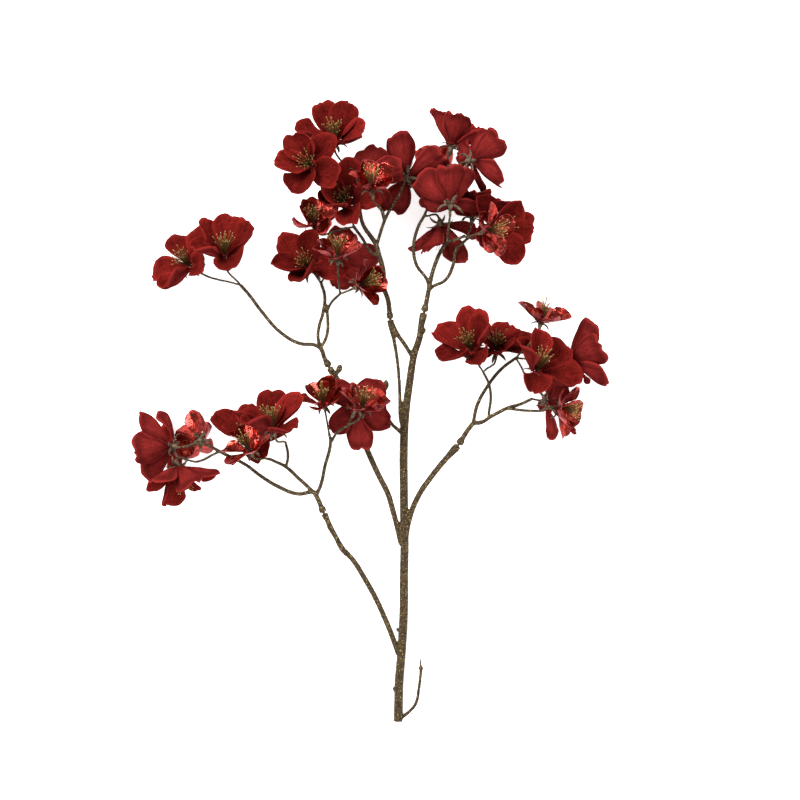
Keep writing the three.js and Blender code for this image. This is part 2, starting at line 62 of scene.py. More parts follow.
# Driving dimensions in mm and degrees, as in the solids, but for the film, which is thinner here.
# Places along a plug are measured from the branch's end. Each of a collar's rings has its place
# and how much wider it is than the head's row says.
PETALS = 5
PLUG = {"pin": 1.5, "pin_ends": (-5.6, 2.6), "socket": 2.1, "socket_ends": (-6, 2)}
COLLAR = ((2, -0.3), (3, 0), (6, 0), (8.5, -1.2))
VELVET = {
    "cloth": "velvet", "length": 40, "half_width": 14.5, "rise": 34, "tip": 12, "cup": 7,
    "thickness": 0.8, "stamen": 24, "lean": 26, "sepal": 15,
}
FOIL = {
    "cloth": "foil", "length": 26, "half_width": 10.5, "rise": 44, "tip": 18, "cup": 4,
    "thickness": 0.5, "stamen": 22, "lean": 26, "sepal": 12,
}
HUB_ROOT = 4.6
CALYX = {"height": 7, "top": -1.2}
STALK = {"radius": 1.1, "flare": 0.25, "sunk": 1.5, "straight": 0.35, "bend": 0.45}
PETAL_TWIST = 12
TIP_ROUNDING = 0.4

# The petals' finer form: how much wider than the solids' they are in mm, their grids of faces,
# their width at the root as a share, the middle that their rims' waves turn round, the height in
# mm below which the surface presses on them, and the washer in the middle of a bloom
WIDER = {"velvet": 1.0, "foil": 0.6}
GRID = {"velvet": (12, 14), "foil": (12, 12)}
ROOT_WIDTH = 0.22
RIM_MIDDLE = 1.15
PRESSED_BELOW = 3
HUB = {"sides": 20, "radius": HUB_ROOT + 2.8, "hole": 0.24, "slope": 0.16, "drop": 0.3}

# How long the lobes, notches and ragged teeth of a petal's edge are, as shares of its length, how
# many teeth, and how deep the parts of its face are in mm, with both bounds where it is drawn
EDGE = {"lobes": 0.035, "notches": (0, 0, 0.05, 0.08), "ragged": 0.011, "teeth": (9, 14, 19)}
VELVET_FORM = {
    "spoon": (1.6, 4.4), "waves": 2.6, "small_waves": 0.7, "curl": (-1.2, 4.2),
    "roll": (-3.2, 2.4), "fold": (-1, 1.6), "pleats": 0.4, "dents": 0.8, "side": (-3, 3),
}
FOIL_FORM = {
    "spoon": 2.0, "crinkles": {4.5: 0.6, 8.5: 0.2}, "sway": 1.4, "buckles": 0.5,
    "roll": (-1.6, 2.4), "waves": 0.8,
}

# The moulded skins in mm: the mesh's fineness, the lumps' depth and size, and a tube's least radius
STEM_SKIN = {"voxel": 0.9, "depth": 0.5}
TWIG_SKIN = {"voxel": 0.62, "depth": 0.3}
LUMP_SIZE = 2.2
THINNEST = 0.15

# What stays unsprayed, in mm: the stem's cut end, and the pin along and round the plug's line
CUT_FACE = 0.6
BARE_PIN = {"from": -7, "to": 2.1, "radius": 2.2}

# Calyxes and stamens in mm: the radius and height of each ring of a calyx, its sepals' form and
# their share of the stems' glitter, how far along a stamen each of its radii is, where the stamens
# start, and the bead on each
CALYX_RINGS = (
    (1.15, -8.5), (1.5, -7.7), (2.1, -6.6), (2.75, -4.8), (2.9, -3), (2.5, -2), (1.5, -1.2),
    (1.5, 0.4), (2.2, 1.3), (2.1, 2.3), (1.2, 3.1),
)
SEPAL = {"grid": (10, 4), "spine": 41, "width": 1.8, "tip": 0.1, "keel": 0.45, "root": 2.2, "drop": 1.4}
SEPAL_THICKNESS = 0.4
SEPAL_GLITTER = 0.3
STAMEN_RINGS = ((0, 0.4), (0.4, 0.32), (0.75, 0.27), (1, 0.25))
STAMEN_FOOT = {"radius": 1.7, "height": 2.4, "fall": 0.5}
GOLDEN_ANGLE = 2.39996
BEAD = {"segments": 6, "ring_count": 4, "radius": 0.52}

# Where each series of random draws starts, and how far a wave's start may be along its turn
SEEDS = {"petals": 1000, "calyxes": 3000, "turns": 5000}
BRUSH_SEEDS = (1, 2, 3)
WAVE_START = 6.3

# Which draw of folds and waves a bloom's petals take, by its number, where the first one would
# brush against a neighbour or look stiff
DRAW_STEP = 100
DRAWS = {
    3: 8, 5: 5, 7: 4, 8: 5, 12: 1, 14: 5, 15: 8, 16: 1, 17: 4, 18: 11, 21: 12, 22: 2,
    24: 11, 25: 7, 26: 4, 27: 9, 28: 8, 29: 10, 32: 2, 34: 1, 35: 5, 36: 8, 37: 12,
}

# The studio: the view's middle, the camera's sensor and lens in mm, the table's size in m and its
# top in mm, just clear of the branch, and the lights' places and sizes in m and their watts
VIEW_MIDDLE = (0, 324, 50)
SENSOR = 36
LENS = 300
TABLE_SIZE = 8
TABLE_TOP = -0.05
WORLD_LIGHT = 0.5
TABLE_LIGHT = 0.68
LIGHTS = (
    ("key_softbox", (-1.5, 1.6, 2.6), 1.4, 150),
    ("fill_softbox", (2.2, 0.4, 2.4), 2.2, 44),
    ("low_softbox", (0.2, -2.4, 2.0), 2.2, 32),
)


def bloom_row(kind, at, faces, turn, folds, start):
    """A bloom: its hub, the way it faces, its first petal's direction in degrees, how far each
    petal is folded up from the plain one in degrees, and the twig's end that its stalk leaves."""
    return {"kind": kind, "at": at, "faces": faces, "turn": turn, "folds": folds, "from": start}


def velvet(*row):
    return bloom_row(VELVET, *row)


def foil(*row):
    return bloom_row(FOIL, *row)


# Main stem, side branches and bare twigs: x, y, z and radius at each point
STEM = [
    [-2, 0, 4.2, 4.6], [-1.5, 20, 4.2, 4.6], [-1, 40, 4.6, 4.6], [1, 64, 8, 4.5], [3.5, 104, 12, 4.5],
    [4, 144, 16, 4.4], [4.5, 179, 20, 4.4], [4, 224, 25, 4.3], [4, 284, 32, 4.2], [6, 314, 35, 4],
    [10, 344, 39, 3.9], [14, 369, 42, 3.6], [19.6, 386.5, 44, 3.3], [21.5, 400, 45, 3.3],
    [23, 407, 46, 3.9], [24, 411, 46, 3.7],
]
BOTTOM_TWIG = [
    [1, 4, 5, 2], [10, 11, 7, 1.8], [16, 19, 9, 1.8], [19, 34, 12, 1.7], [21, 52, 15, 1.7],
    [21, 54.5, 15.5, 2.7], [20.7, 57, 16, 1.2], [20.5, 64, 17, 0.8],
]
BUD_TWIG = [
    [3.9, 289, 33, 2], [-2.5, 294.5, 34, 1.9], [-8.6, 300.4, 34.5, 1.8], [-12.6, 308, 35, 1.6],
    [-14.4, 314, 36, 1.4], [-15.2, 327, 39, 1.4], [-15.4, 331.2, 39.4, 2.4], [-15.2, 333.8, 39.6, 1.7],
    [-14.4, 337.6, 40, 3.4], [-14, 341.4, 40.4, 3], [-13.7, 345, 40.8, 0],
]
SIDE_BUD = [
    [-64.5, 346.5, 38, 1.4], [-63, 350.5, 39, 1.6], [-61, 354.8, 40, 3.2], [-59.8, 357.8, 40.5, 2.6],
    [-58.6, 360.1, 41, 0],
]
NUBS = [
    [[2, 90, 10.5, 1.6], [-2.5, 93, 10.5, 1.7], [-4.4, 95, 10.5, 0]],
    [[-2, 29, 5, 1.8], [-5.6, 32.5, 5, 1.9], [-8, 35, 5, 0]],
    [[20.5, 389, 44, 1.5], [24.4, 393, 45, 1.7], [26, 396.5, 45, 0]],
]
LOWER_LEFT = [
    [-2, 69, 9, 2.6], [-7, 84, 14, 2.8], [-15, 104, 18, 2.8], [-25, 126, 22, 2.8], [-35, 144, 25, 2.8],
    [-47.6, 164, 28, 2.7], [-58, 175, 31, 3.2], [-64, 186, 33, 2.6], [-69.6, 196, 35, 3.1],
    [-73, 204, 36, 2.7], [-75, 208, 37, 3.5], [-76, 210, 37.3, 3.3],
]
MID_LEFT = [
    [1, 179, 20, 2.6], [-3.2, 198, 24, 2.9], [-7.2, 213.4, 27, 2.9], [-12.2, 230, 29, 2.9],
    [-21.7, 249, 28, 2.9], [-31.3, 270, 27, 2.9], [-45, 303, 26, 2.8], [-57.1, 336, 29, 2.8],
    [-64.3, 347, 39, 2.9], [-69, 353.5, 43.4, 3.5], [-70.4, 356, 44.3, 3.3],
]
RIGHT = [
    [5, 179, 20, 2.6], [9.5, 205, 25, 2.9], [17.5, 226, 29, 2.9], [31.8, 247.6, 33, 2.9],
    [47.9, 267.2, 37, 3.1], [55, 275, 39, 4.1], [58, 278.3, 39.6, 3.8],
]
UPPER_LEFT_NEAR = [
    [13, 366, 42, 2], [5, 379, 46, 2.2], [-2, 389, 49, 2.2], [-8, 400, 51, 2.4],
]
UPPER_LEFT_FAR = [
    [4, 290, 33, 2], [0.5, 307, 36, 2], [0, 324, 39, 1.9], [-1, 346, 42, 1.8], [-3, 366, 45, 1.8],
    [-6, 384, 48, 2], [-9, 400, 51, 3.4], [-9.6, 404, 51.4, 3.3],
]

# Flower heads: the collar's place and radius, the forked twigs and the blooms
HEADS = {
    "upper_left": {
        "end": [-9.6, 404, 51.4], "towards": [-12, 424, 56], "collar": 3.4,
        "twigs": [
            [[-10.2, 409, 52.5, 2.6], [-12, 424, 56, 2.5], [-15.4, 434, 57, 2.5], [-17, 454, 60, 2.6],
                [-21, 469, 61, 2.5], [-24, 479, 62, 2.5], [-37, 499.4, 64, 2.1], [-40, 512, 66, 1.9]],
            [[-21, 468, 61, 1.6], [-28, 471, 60, 1.6], [-38, 486, 59, 1.6], [-46, 497, 57, 1.7]],
            [[-23.4, 478, 62, 1.7], [-15.4, 503, 62, 1.7], [-8.2, 517.2, 58, 1.5], [0, 530, 53, 1.4]],
            [[-15.4, 502, 62, 1.4], [-16, 508, 76, 1.3], [-18, 513, 92, 1.3]],
            [[-40, 511, 66, 1.6], [-39, 527, 58, 1.5], [-47, 546, 51, 1.4], [-55, 558, 50, 1.3]],
            [[-15.4, 502, 62, 1.4], [-20, 517, 60, 1.4], [-27, 530, 62, 1.3]],
        ],
        "blooms": [
            velvet([-66, 582, 50], [-0.05, 0.8, 0.55], 55, [30, 25, 0, 0, 5], [-55, 558, 50]),
            velvet([-88, 558, 84], [-0.3, 0.2, 0.95], 40, [15, 25, 30, 10, 0], [-55, 558, 50]),
            velvet([-39, 546, 63], [0.55, 0.35, -0.9], 75, [40, 0, -5, 10, 30], [-27, 530, 62]),
            foil([-28, 534, 104], [0, 0.9, 0.45], 45, [15, 20, 15, 0, -5], [-18, 513, 92]),
            velvet([-54, 521, 64], [-0.2, 0.4, 1], 0, [0, 5, 35, 40, 15], [-46, 497, 57]),
            foil([-86, 501, 36], [-0.05, 0.7, 0.75], 15, [0, -5, 30, 0, -5], [-46, 497, 57]),
            velvet([7, 548, 42], [0.15, 0.4, -0.9], 35, [-30, -25, -25, 25, -20], [0, 530, 53]),
        ],
    },
    "mid_left": {
        "end": [-70.4, 356, 44.3], "towards": [-76, 367.2, 46], "collar": 3.7,
        "twigs": [
            [[-73.8, 362, 45, 2.6], [-76, 367.2, 46, 2.3], [-79, 375, 47, 2.4], [-85.3, 379, 47, 2],
                [-100, 380.5, 47, 2], [-119.3, 391.5, 47, 1.9], [-138.4, 412.5, 46, 1.9],
                [-150, 428, 45, 1.8], [-159.5, 439, 44, 1.8]],
            [[-79, 374, 47, 1.9], [-82, 387, 48, 1.8], [-81, 397.2, 48, 1.8], [-77.2, 410.6, 48, 1.8],
                [-75.3, 428, 48, 1.7], [-79, 441, 47, 1.6]],
            [[-80, 375, 47, 1.8], [-73.4, 388, 46, 1.8], [-72.4, 407, 46, 1.7], [-74.5, 420, 47.5, 1.6]],
            [[-73, 412, 47, 1.4], [-69, 421, 48, 1.4], [-60, 430, 49, 1.3]],
        ],
        "blooms": [
            velvet([-90, 456, 50], [-0.35, 0.45, 0.75], 65, [30, 0, 30, 20, -25], [-79, 441, 47]),
            velvet([-62, 462, 37], [0.25, -0.15, -0.95], 20, [0, 40, 40, 0, 0], [-79, 441, 47]),
            foil([-62, 466, 88], [0, 0.9, 0.45], 70, [0, -15, 0, 0, 5], [-60, 430, 49]),
            foil([-40, 438, 74], [0.8, 0.35, 0.45], 0, [25, 35, 10, 0, 0], [-60, 430, 49]),
            velvet([-210, 459, 28], [-0.6, 0.5, 0.65], 40, [0, -20, -15, 0, 0], [-159.5, 439, 44]),
            velvet([-175, 467, 62], [-0.05, 0.9, 0.5], 80, [25, 25, 15, -15, 25], [-159.5, 439, 44]),
        ],
    },
    "upper_right": {
        "end": [24, 411, 46], "towards": [28.4, 432.5, 50], "collar": 3.7,
        "twigs": [
            [[25.5, 417.5, 47, 2.6], [28.4, 432.5, 50, 2.5], [30, 441, 51, 2.4], [34.6, 458.3, 53, 2.1],
                [41.8, 474.4, 55, 2], [47, 481.5, 57, 1.9], [55, 484, 58, 1.6], [65, 488, 58, 1.5]],
            [[29, 438, 51, 1.8], [26, 446, 52, 1.8], [16.8, 458.3, 54, 1.8], [13.6, 476.1, 57, 1.8],
                [17.7, 495.8, 60, 1.7], [23.9, 507.4, 62, 1.6]],
            [[29, 434, 50, 1.9], [33, 437.5, 49, 1.8], [45.4, 444, 48, 1.8], [53.4, 460, 48, 1.8],
                [56, 474.4, 49, 1.7], [66, 484, 52, 1.5]],
            [[47, 480, 57, 1.5], [48, 490, 63, 1.4], [49.5, 505, 70, 1.3]],
            [[64, 488, 58, 1.4], [63.5, 487, 74, 1.4], [68, 486, 92, 1.3]],
            [[23, 506, 61, 1.4], [32, 524, 56, 1.4], [45.4, 546, 60, 1.3]],
        ],
        "blooms": [
            velvet([52, 579, 40], [0.35, 1, -0.3], 40, [5, 35, 35, 25, 20], [45.4, 546, 60]),
            velvet([71, 563, 83], [0.75, 0.25, -0.6], 30, [-5, -5, 0, 0, 30], [45.4, 546, 60]),
            foil([37, 555, 26], [-0.15, 0.15, -0.95], 125, [0, 0, 0, 0, 0], [45.4, 546, 60]),
            velvet([50, 520, 100], [0, 0.7, -0.6], 25, [35, 0, 0, 5, 0], [49.5, 505, 70]),
            velvet([73, 508, 49], [0.2, 1, -0.25], 45, [0, 25, 0, 0, 0], [66, 484, 52]),
            velvet([41, 499, 41], [0.3, -1.2, -0.6], 60, [0, 35, -10, 10, 10], [23.9, 507.4, 62]),
            foil([87, 492, 105], [0.75, 0.15, 0.7], 85, [-10, -5, -10, -25, 0], [68, 486, 92]),
            velvet([94, 497, 61], [0.55, 0.1, 0.75], 0, [-20, 40, 0, 0, 0], [66, 484, 52]),
        ],
    },
    "lower_left": {
        "end": [-76, 210, 37.3], "towards": [-83, 226.3, 40], "collar": 3.7,
        "twigs": [
            [[-78.5, 216, 38, 2.6], [-83, 226.3, 40, 2.5], [-87, 232, 41, 2.5], [-93.5, 231, 42, 2.1],
                [-102, 230, 43, 2], [-121.2, 237, 45, 2], [-138.4, 247.3, 46, 1.9], [-154, 259, 47, 1.9],
                [-176, 270.3, 48, 1.8], [-183, 274, 49, 1.7], [-193, 279, 52, 1.4],
                [-205, 280, 53, 1.3], [-211, 278.5, 51, 1.3]],
            [[-180, 272.5, 48, 1.3], [-188, 269, 48, 1.3], [-196, 264.5, 47, 1.3], [-204, 262, 46, 1.2]],
            [[-84, 229, 40, 1.9], [-90, 235, 41, 1.9], [-100.2, 244.4, 43, 1.9], [-115.5, 258, 44, 1.8],
                [-124, 262, 47, 1.6], [-131, 265.5, 50, 1.4]],
            [[-114, 257, 45, 1.5], [-112, 268.3, 47, 1.5], [-114.5, 282, 50, 1.4]],
            [[-84, 228, 40, 2], [-79, 240, 42, 1.9], [-75.3, 257, 45, 1.8], [-69.5, 282, 50, 1.7],
                [-71, 291, 53, 1.4]],
            [[-70, 280, 50, 1.5], [-62, 292.3, 56, 1.4], [-52, 298, 60, 1.3]],
        ],
        "blooms": [
            velvet([-229, 278, 40], [-0.8, 0.15, -0.55], 30, [15, -5, 5, 5, 15], [-211, 278.5, 51]),
            velvet([-222, 256, 56], [0.25, -0.95, 0.25], 340, [0, 15, -5, 35, 5], [-204, 262, 46]),
            foil([-201, 285, 47], [-0.25, 0.2, -0.85], 25, [20, 10, 5, 25, 0], [-193, 279, 52]),
            velvet([-126, 295, 77], [-0.2, 1.1, 0.45], 30, [10, 25, 0, 15, -10], [-114.5, 282, 50]),
            velvet([-152, 284, 21], [-0.1, 0.7, 0.75], 85, [0, 0, 35, 0, 0], [-118, 259, 44]),
            foil([-150, 274, 67], [-0.35, 0.75, 0.55], 25, [-5, 0, -25, -25, 0], [-131, 265.5, 50]),
            foil([-76, 320, 65], [-0.15, 0.85, 0.7], 325, [5, 25, -15, 0, 0], [-71, 291, 53]),
            velvet([-43, 315, 63], [0.05, -0.2, -0.95], 60, [0, 20, 5, 20, 0], [-52, 298, 60]),
            foil([-38, 316, 85], [0.15, 0.8, 0.6], 40, [-15, 0, 10, 0, 0], [-52, 298, 60]),
        ],
    },
    "right": {
        "end": [58, 278.3, 39.6], "towards": [69.3, 295.8, 43], "collar": 3.9,
        "twigs": [
            [[62, 284.5, 41, 2.7], [69.3, 295.8, 43, 2.5], [74.6, 301, 44, 2.5], [80, 301, 44, 2],
                [92, 308, 45, 2], [108.6, 316.3, 46, 1.9], [121, 320, 46, 1.6], [131.8, 325.2, 46, 1.5]],
            [[73, 299, 44, 1.9], [74.6, 308.3, 45, 1.9], [77.3, 319, 46, 2], [87, 337, 48, 1.8],
                [101.4, 355, 50, 1.7], [115.7, 366, 50, 1.6]],
            [[79, 302, 44, 1.5], [87.5, 305, 46, 1.5], [89, 312, 47, 1.5], [90.7, 329.7, 52, 1.5],
                [88, 342.2, 55, 1.4], [83, 352, 57, 1.3]],
            [[107, 315.5, 46, 1.4], [125, 313.5, 47, 1.4], [141, 313, 49, 1.3]],
        ],
        "blooms": [
            velvet([71, 374, 67], [-0.25, 0.65, 0.7], 5, [30, 0, 0, 10, 0], [83, 352, 57]),
            velvet([97, 374, 28], [0, 0.65, 0.7], 75, [-20, 0, 0, 30, 0], [83, 352, 57]),
            foil([141, 403, 60], [0.25, 0.95, 0.4], 15, [-5, -10, -10, 0, 0], [115.7, 366, 50]),
            velvet([136, 353, 78], [0.4, 0.85, 0.5], 50, [0, 35, 25, -25, -15], [115.7, 366, 50]),
            velvet([172, 367, 38], [1.05, 0.3, -0.25], 55, [15, 10, 0, 5, 30], [115.7, 366, 50]),
            foil([158, 315, 74], [0.9, -0.1, 0.4], 45, [0, -5, 10, -20, 5], [141, 313, 49]),
            velvet([148, 323, 39], [0.85, -0.05, -0.4], 10, [-20, 0, 0, 0, 0], [131.8, 325.2, 46]),
        ],
    },
}


# Places
def in_frame(point):
    """A table's place in mm as a place in the frame in metres."""
    return Vector((point[0] + CUT_END[0], point[1] + CUT_END[1], point[2])) * MM


def check_frame_place():
    """The tables only fit while the stem's cut end lies where it is said to."""
    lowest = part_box("main_stem")[0][1] / MM
    if abs(lowest - CUT_END[1]) > CUT_END_SLACK:
        raise RuntimeError(f"the stem's cut end is at y {lowest:.1f} mm and not at {CUT_END[1]:.1f} mm")


def bloom_frame(bloom):
    """From a bloom's own mm, z along the way it faces and x to its first petal, to the frame."""
    z = Vector(bloom["faces"]).normalized()
    turn = math.radians(bloom["turn"])
    first = Vector((math.cos(turn), math.sin(turn), 0))
    x = (first - z * first.dot(z)).normalized()
    y = z.cross(x)
    axes = Matrix((x, y, z)).transposed().to_4x4()
    return Matrix.Translation(in_frame(bloom["at"])) @ axes @ Matrix.Scale(MM, 4)


def numbered_blooms():
    """Every bloom with its number, its head and its node's name, in the order of the tables."""
    rows = []
    counts = {"velvet": 0, "foil": 0}
    for head, parts in HEADS.items():
        for bloom in parts["blooms"]:
            cloth = bloom["kind"]["cloth"]
            counts[cloth] += 1
            rows.append((len(rows) + 1, head, f"petals_{cloth}_{counts[cloth]}", bloom))
    return rows


def numbered_heads():
    """Every head's name with its blooms and their numbers."""
    rows = numbered_blooms()
    return [(name, [(row[0], row[3]) for row in rows if row[1] == name]) for name in HEADS]


# Objects
def deselect():
    bpy.ops.object.select_all(action="DESELECT")


def take(piece):
    """Selects one object alone and makes it the active one."""
    deselect()
    piece.select_set(True)
    bpy.context.view_layer.objects.active = piece


def leave_edit_mode():
    """Ends the shaping of a mesh with its faces turned outwards."""
    bpy.ops.mesh.select_all(action="SELECT")
    bpy.ops.mesh.normals_make_consistent(inside=False)
    bpy.ops.object.mode_set(mode="OBJECT")


def apply_modifier(piece, kind, **options):
    take(piece)
    modifier = piece.modifiers.new(kind.title(), kind)
    for name, value in options.items():
        setattr(modifier, name, value)
    bpy.ops.object.modifier_apply(modifier=modifier.name)


def joined(pieces):
    """Joins objects into the first of them and returns it."""
    deselect()
    for piece in pieces:
        piece.select_set(True)
    bpy.context.view_layer.objects.active = pieces[0]
    if len(pieces) > 1:
        bpy.ops.object.join()
    return pieces[0]


def copied(piece, matrix):
    """A copy with its own mesh, moved by a matrix."""
    other = piece.copy()
    other.data = piece.data.copy()
    other.data.transform(matrix)
    bpy.context.collection.objects.link(other)
    return other


def remove(piece):
    take(piece)
    bpy.ops.object.delete()


def points_of(piece):
    points = np.empty(len(piece.data.vertices) * 3)
    piece.data.vertices.foreach_get("co", points)
    return points.reshape(-1, 3)


def set_points(piece, points):
    piece.data.vertices.foreach_set("co", np.asarray(points, dtype=float).ravel())
    piece.data.update()


def store(piece, name, values):
    """Keeps a number for each point of a mesh, which its material reads by name."""
    kept = piece.data.attributes.new(name, "FLOAT", "POINT")
    kept.data.foreach_set("value", np.full(len(piece.data.vertices), values, dtype=float))


def grid(rows, columns):
    """A flat sheet of faces, and how far along it and across it each of its points lies."""
    deselect()
    bpy.ops.mesh.primitive_grid_add(x_subdivisions=rows, y_subdivisions=columns, size=2)
    sheet = bpy.context.active_object
    points = points_of(sheet)
    return sheet, (points[:, 0] + 1) / 2, points[:, 1]


def set_materials(piece, materials):
    piece.data.materials.clear()
    for material in materials:
        piece.data.materials.append(material)


def use_second_material(piece, chosen):
    """Gives a piece's second material to the faces whose points are all chosen."""
    faces = [int(all(chosen[list(face.vertices)])) for face in piece.data.polygons]
    piece.data.polygons.foreach_set("material_index", faces)


def resting(piece, give=0):
    """Presses what would sink below the surface up onto it. Where a soft piece gives way over
    some height, it does so more and more, so that its folds stay apart."""
    points = points_of(piece)
    height = points[:, 2]
    if give:
        height = np.where(height < give, give * np.exp(np.minimum(height / give, 1) - 1), height)
    points[:, 2] = np.maximum(height, 0)
    set_points(piece, points)


def finish(piece, name, node):
    """Names a piece, smooths it, ties it to the body and hides the node's solid that it stands for."""
    take(piece)
    bpy.ops.object.transform_apply(location=True, rotation=True, scale=True)
    bpy.ops.object.shade_smooth()
    piece.name = name
    piece.data.name = name
    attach(piece, "root")
    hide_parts(node)


# Petals
def petal_shape(kind, i, k, fold):
    """How petal k of bloom number i differs from the plain one, by the same rule as the solids'."""
    wobble = math.sin(i * 2.1 + k * 4.7)
    second = math.sin(i * 1.3 + k * 2.9 + 1)
    return {
        "length": kind["length"] * (1 + 0.05 * wobble),
        "rise": math.radians(kind["rise"] + fold + 4 * second),
        "tip": math.radians(kind["tip"] + fold + 8 * wobble),
        "twist": math.radians(PETAL_TWIST + 2 * second),
    }


def wave(rng, radians):
    """A sine that starts anywhere along its turn."""
    return np.sin(radians + rng.uniform(0, WAVE_START))


def petal_edge(along, across, rng):
    """How much longer or shorter a petal runs towards its rim: a few soft lobes, a notch in some
    and a ragged cut."""
    lobes = EDGE["lobes"] * wave(rng, rng.uniform(3, 4.5) * across) * along ** 3
    notch = -rng.choice(EDGE["notches"]) * np.exp(-(across / 0.25) ** 2) * along ** 5
    ragged = sum(EDGE["ragged"] * wave(rng, teeth * across) * along ** 8 for teeth in EDGE["teeth"])
    return lobes + notch + ragged


def petal_face(kind, shape, along, across, edge, relief):
    """A petal's face: the solid's form, with the finer form added along its own normal, in mm."""
    blunt = 1 - np.sqrt(np.clip(1 - np.abs(across) ** 2.1, 0, 1))
    run = along * shape["length"] * (1 - TIP_ROUNDING * blunt + edge)
    swell = np.sin(np.clip(along, 0, 1) * math.pi / 2) ** 1.3
    width = shape["half_width"] * (ROOT_WIDTH + (1 - ROOT_WIDTH) * swell) * (1 + 0.8 * edge)
    bend = shape["tip"] - shape["rise"]
    here = shape["rise"] + bend * run / shape["length"]
    y = across * width
    tilt = y * math.tan(shape["twist"]) * np.clip(along / 0.25, 0, 1)
    lift = kind["cup"] * across * across * along + tilt + relief
    out = shape["length"] / bend * (np.sin(here) - math.sin(shape["rise"]))
    height = shape["length"] / bend * (math.cos(shape["rise"]) - np.cos(here))
    x = HUB_ROOT + out - lift * np.sin(here)
    return np.stack([x, y, height + lift * np.cos(here)], axis=1)


def velvet_relief(along, across, rng, ruffle):
    """A velvet petal's finer form in mm: a deep spoon, a curled and waved rim and pressed folds."""
    form = VELVET_FORM
    rim = np.maximum(np.abs(across) ** 2, along ** 3)
    round_rim = np.arctan2(across, RIM_MIDDLE - along)
    belly = np.sin(math.pi * np.clip(along, 0, 1))
    spoon = -rng.uniform(*form["spoon"]) * (1 - across ** 2) * belly
    waves = form["waves"] * wave(rng, rng.uniform(3.5, 5.4) * round_rim) * rim ** 2
    small_waves = form["small_waves"] * wave(rng, rng.uniform(8, 10) * round_rim) * rim ** 4
    curl = rng.uniform(*form["curl"]) * rim ** 4
    roll = rng.uniform(*form["roll"]) * along ** 6
    deep = rng.uniform(*form["fold"])
    fold = deep * np.exp(-((across - rng.uniform(-0.3, 0.3)) / 0.14) ** 2) * along
    pleats = form["pleats"] * wave(rng, (11 + 3 * along) * across) * belly
    dents = form["dents"] * wave(rng, 5 * along + 3 * across) * belly
    side = rng.uniform(*form["side"]) * across * along ** 2
    ruffles = ruffle * (waves + small_waves + pleats + dents)
    return spoon + ruffles + curl + roll + fold + side


def foil_relief(along, across, rng, ruffle):
    """A foil petal's finer form in mm: a deep spoon, long soft crinkles and a curled rim."""
    form = FOIL_FORM
    rim = np.maximum(np.abs(across) ** 2, along ** 3)
    round_rim = np.arctan2(across, RIM_MIDDLE - along)
    spoon = -form["spoon"] * (1 - across ** 2) * np.sin(math.pi * np.clip(along, 0, 1))
    crinkles = 0
    for pace, depth in form["crinkles"].items():
        sway = form["sway"] * wave(rng, rng.uniform(2.2, 3.6) * along)
        crinkles += depth * np.abs(np.sin(pace * across * (1.2 - 0.4 * along) + sway))
    buckles = form["buckles"] * wave(rng, 6.5 * along + 2.2 * across)
    roll = rng.uniform(*form["roll"]) * along ** 5
    waves = form["waves"] * wave(rng, rng.uniform(3.5, 5) * round_rim) * rim ** 2
    ruffles = ruffle * ((crinkles + buckles) * (0.3 + 0.7 * along) + waves)
    return spoon + ruffles + roll


RELIEF = {"velvet": velvet_relief, "foil": foil_relief}


def petal_sheet(kind, shape, rng, ruffle):
    """One petal as a grid of faces, its u running out along it and its v across it."""
    cloth = kind["cloth"]
    sheet, along, across = grid(*GRID[cloth])
    shape["half_width"] = (kind["half_width"] + WIDER[cloth]) * rng.uniform(0.86, 1.06)
    edge = petal_edge(along, across, rng)
    relief = RELIEF[cloth](along, across, rng, ruffle)
    set_points(sheet, petal_face(kind, shape, along, across, edge, relief))
    store(sheet, "tone", rng.uniform(0, 1))
    return sheet


def hub_sheet():
    """The small washer of cloth that joins the petals in the middle."""
    deselect()
    bpy.ops.mesh.primitive_circle_add(vertices=HUB["sides"], radius=HUB["radius"], fill_type="NOTHING")
    hub = bpy.context.active_object
    bpy.ops.object.mode_set(mode="EDIT")
    bpy.ops.mesh.select_all(action="SELECT")
    bpy.ops.mesh.extrude_region_move()
    bpy.ops.transform.resize(value=(HUB["hole"], HUB["hole"], 1))
    leave_edit_mode()
    if hub.data.polygons[0].normal.z < 0:
        hub.data.flip_normals()
    points = points_of(hub)
    points[:, 2] = HUB["slope"] * np.hypot(points[:, 0], points[:, 1]) - HUB["drop"]
    set_points(hub, points)
    store(hub, "tone", 0.5)
    return hub


def bloom_petals(number, node, bloom, materials, ruffle):
    """A bloom's five petals and hub as one cloth piece with a face and a back."""
    kind = bloom["kind"]
    rng = random.Random(SEEDS["petals"] + number + DRAW_STEP * DRAWS.get(number, 0))
    sheets = []
    for k in range(PETALS):
        shape = petal_shape(kind, number, k, bloom["folds"][k])
        sheet = petal_sheet(kind, shape, rng, ruffle)
        sheet.data.transform(Matrix.Rotation(math.tau / PETALS * k, 4, "Z"))
        sheets.append(sheet)
    cloth = joined([*sheets, hub_sheet()])
    cloth.data.transform(bloom_frame(bloom))
    set_materials(cloth, materials)
    apply_modifier(
        cloth, "SOLIDIFY", thickness=kind["thickness"] * MM, offset=-1,
        material_offset=1, material_offset_rim=0,
    )
    apply_modifier(cloth, "SUBSURF", levels=1, render_levels=1)
    resting(cloth, PRESSED_BELOW * MM)
    finish(cloth, f"{node}_cloth", node)


def all_petals(kind, materials):
    """The petals of all the blooms of one kind."""
    for number, _, node, bloom in numbered_blooms():
        if bloom["kind"] is kind:
            bloom_petals(number, node, bloom, materials, settings().ruffle)


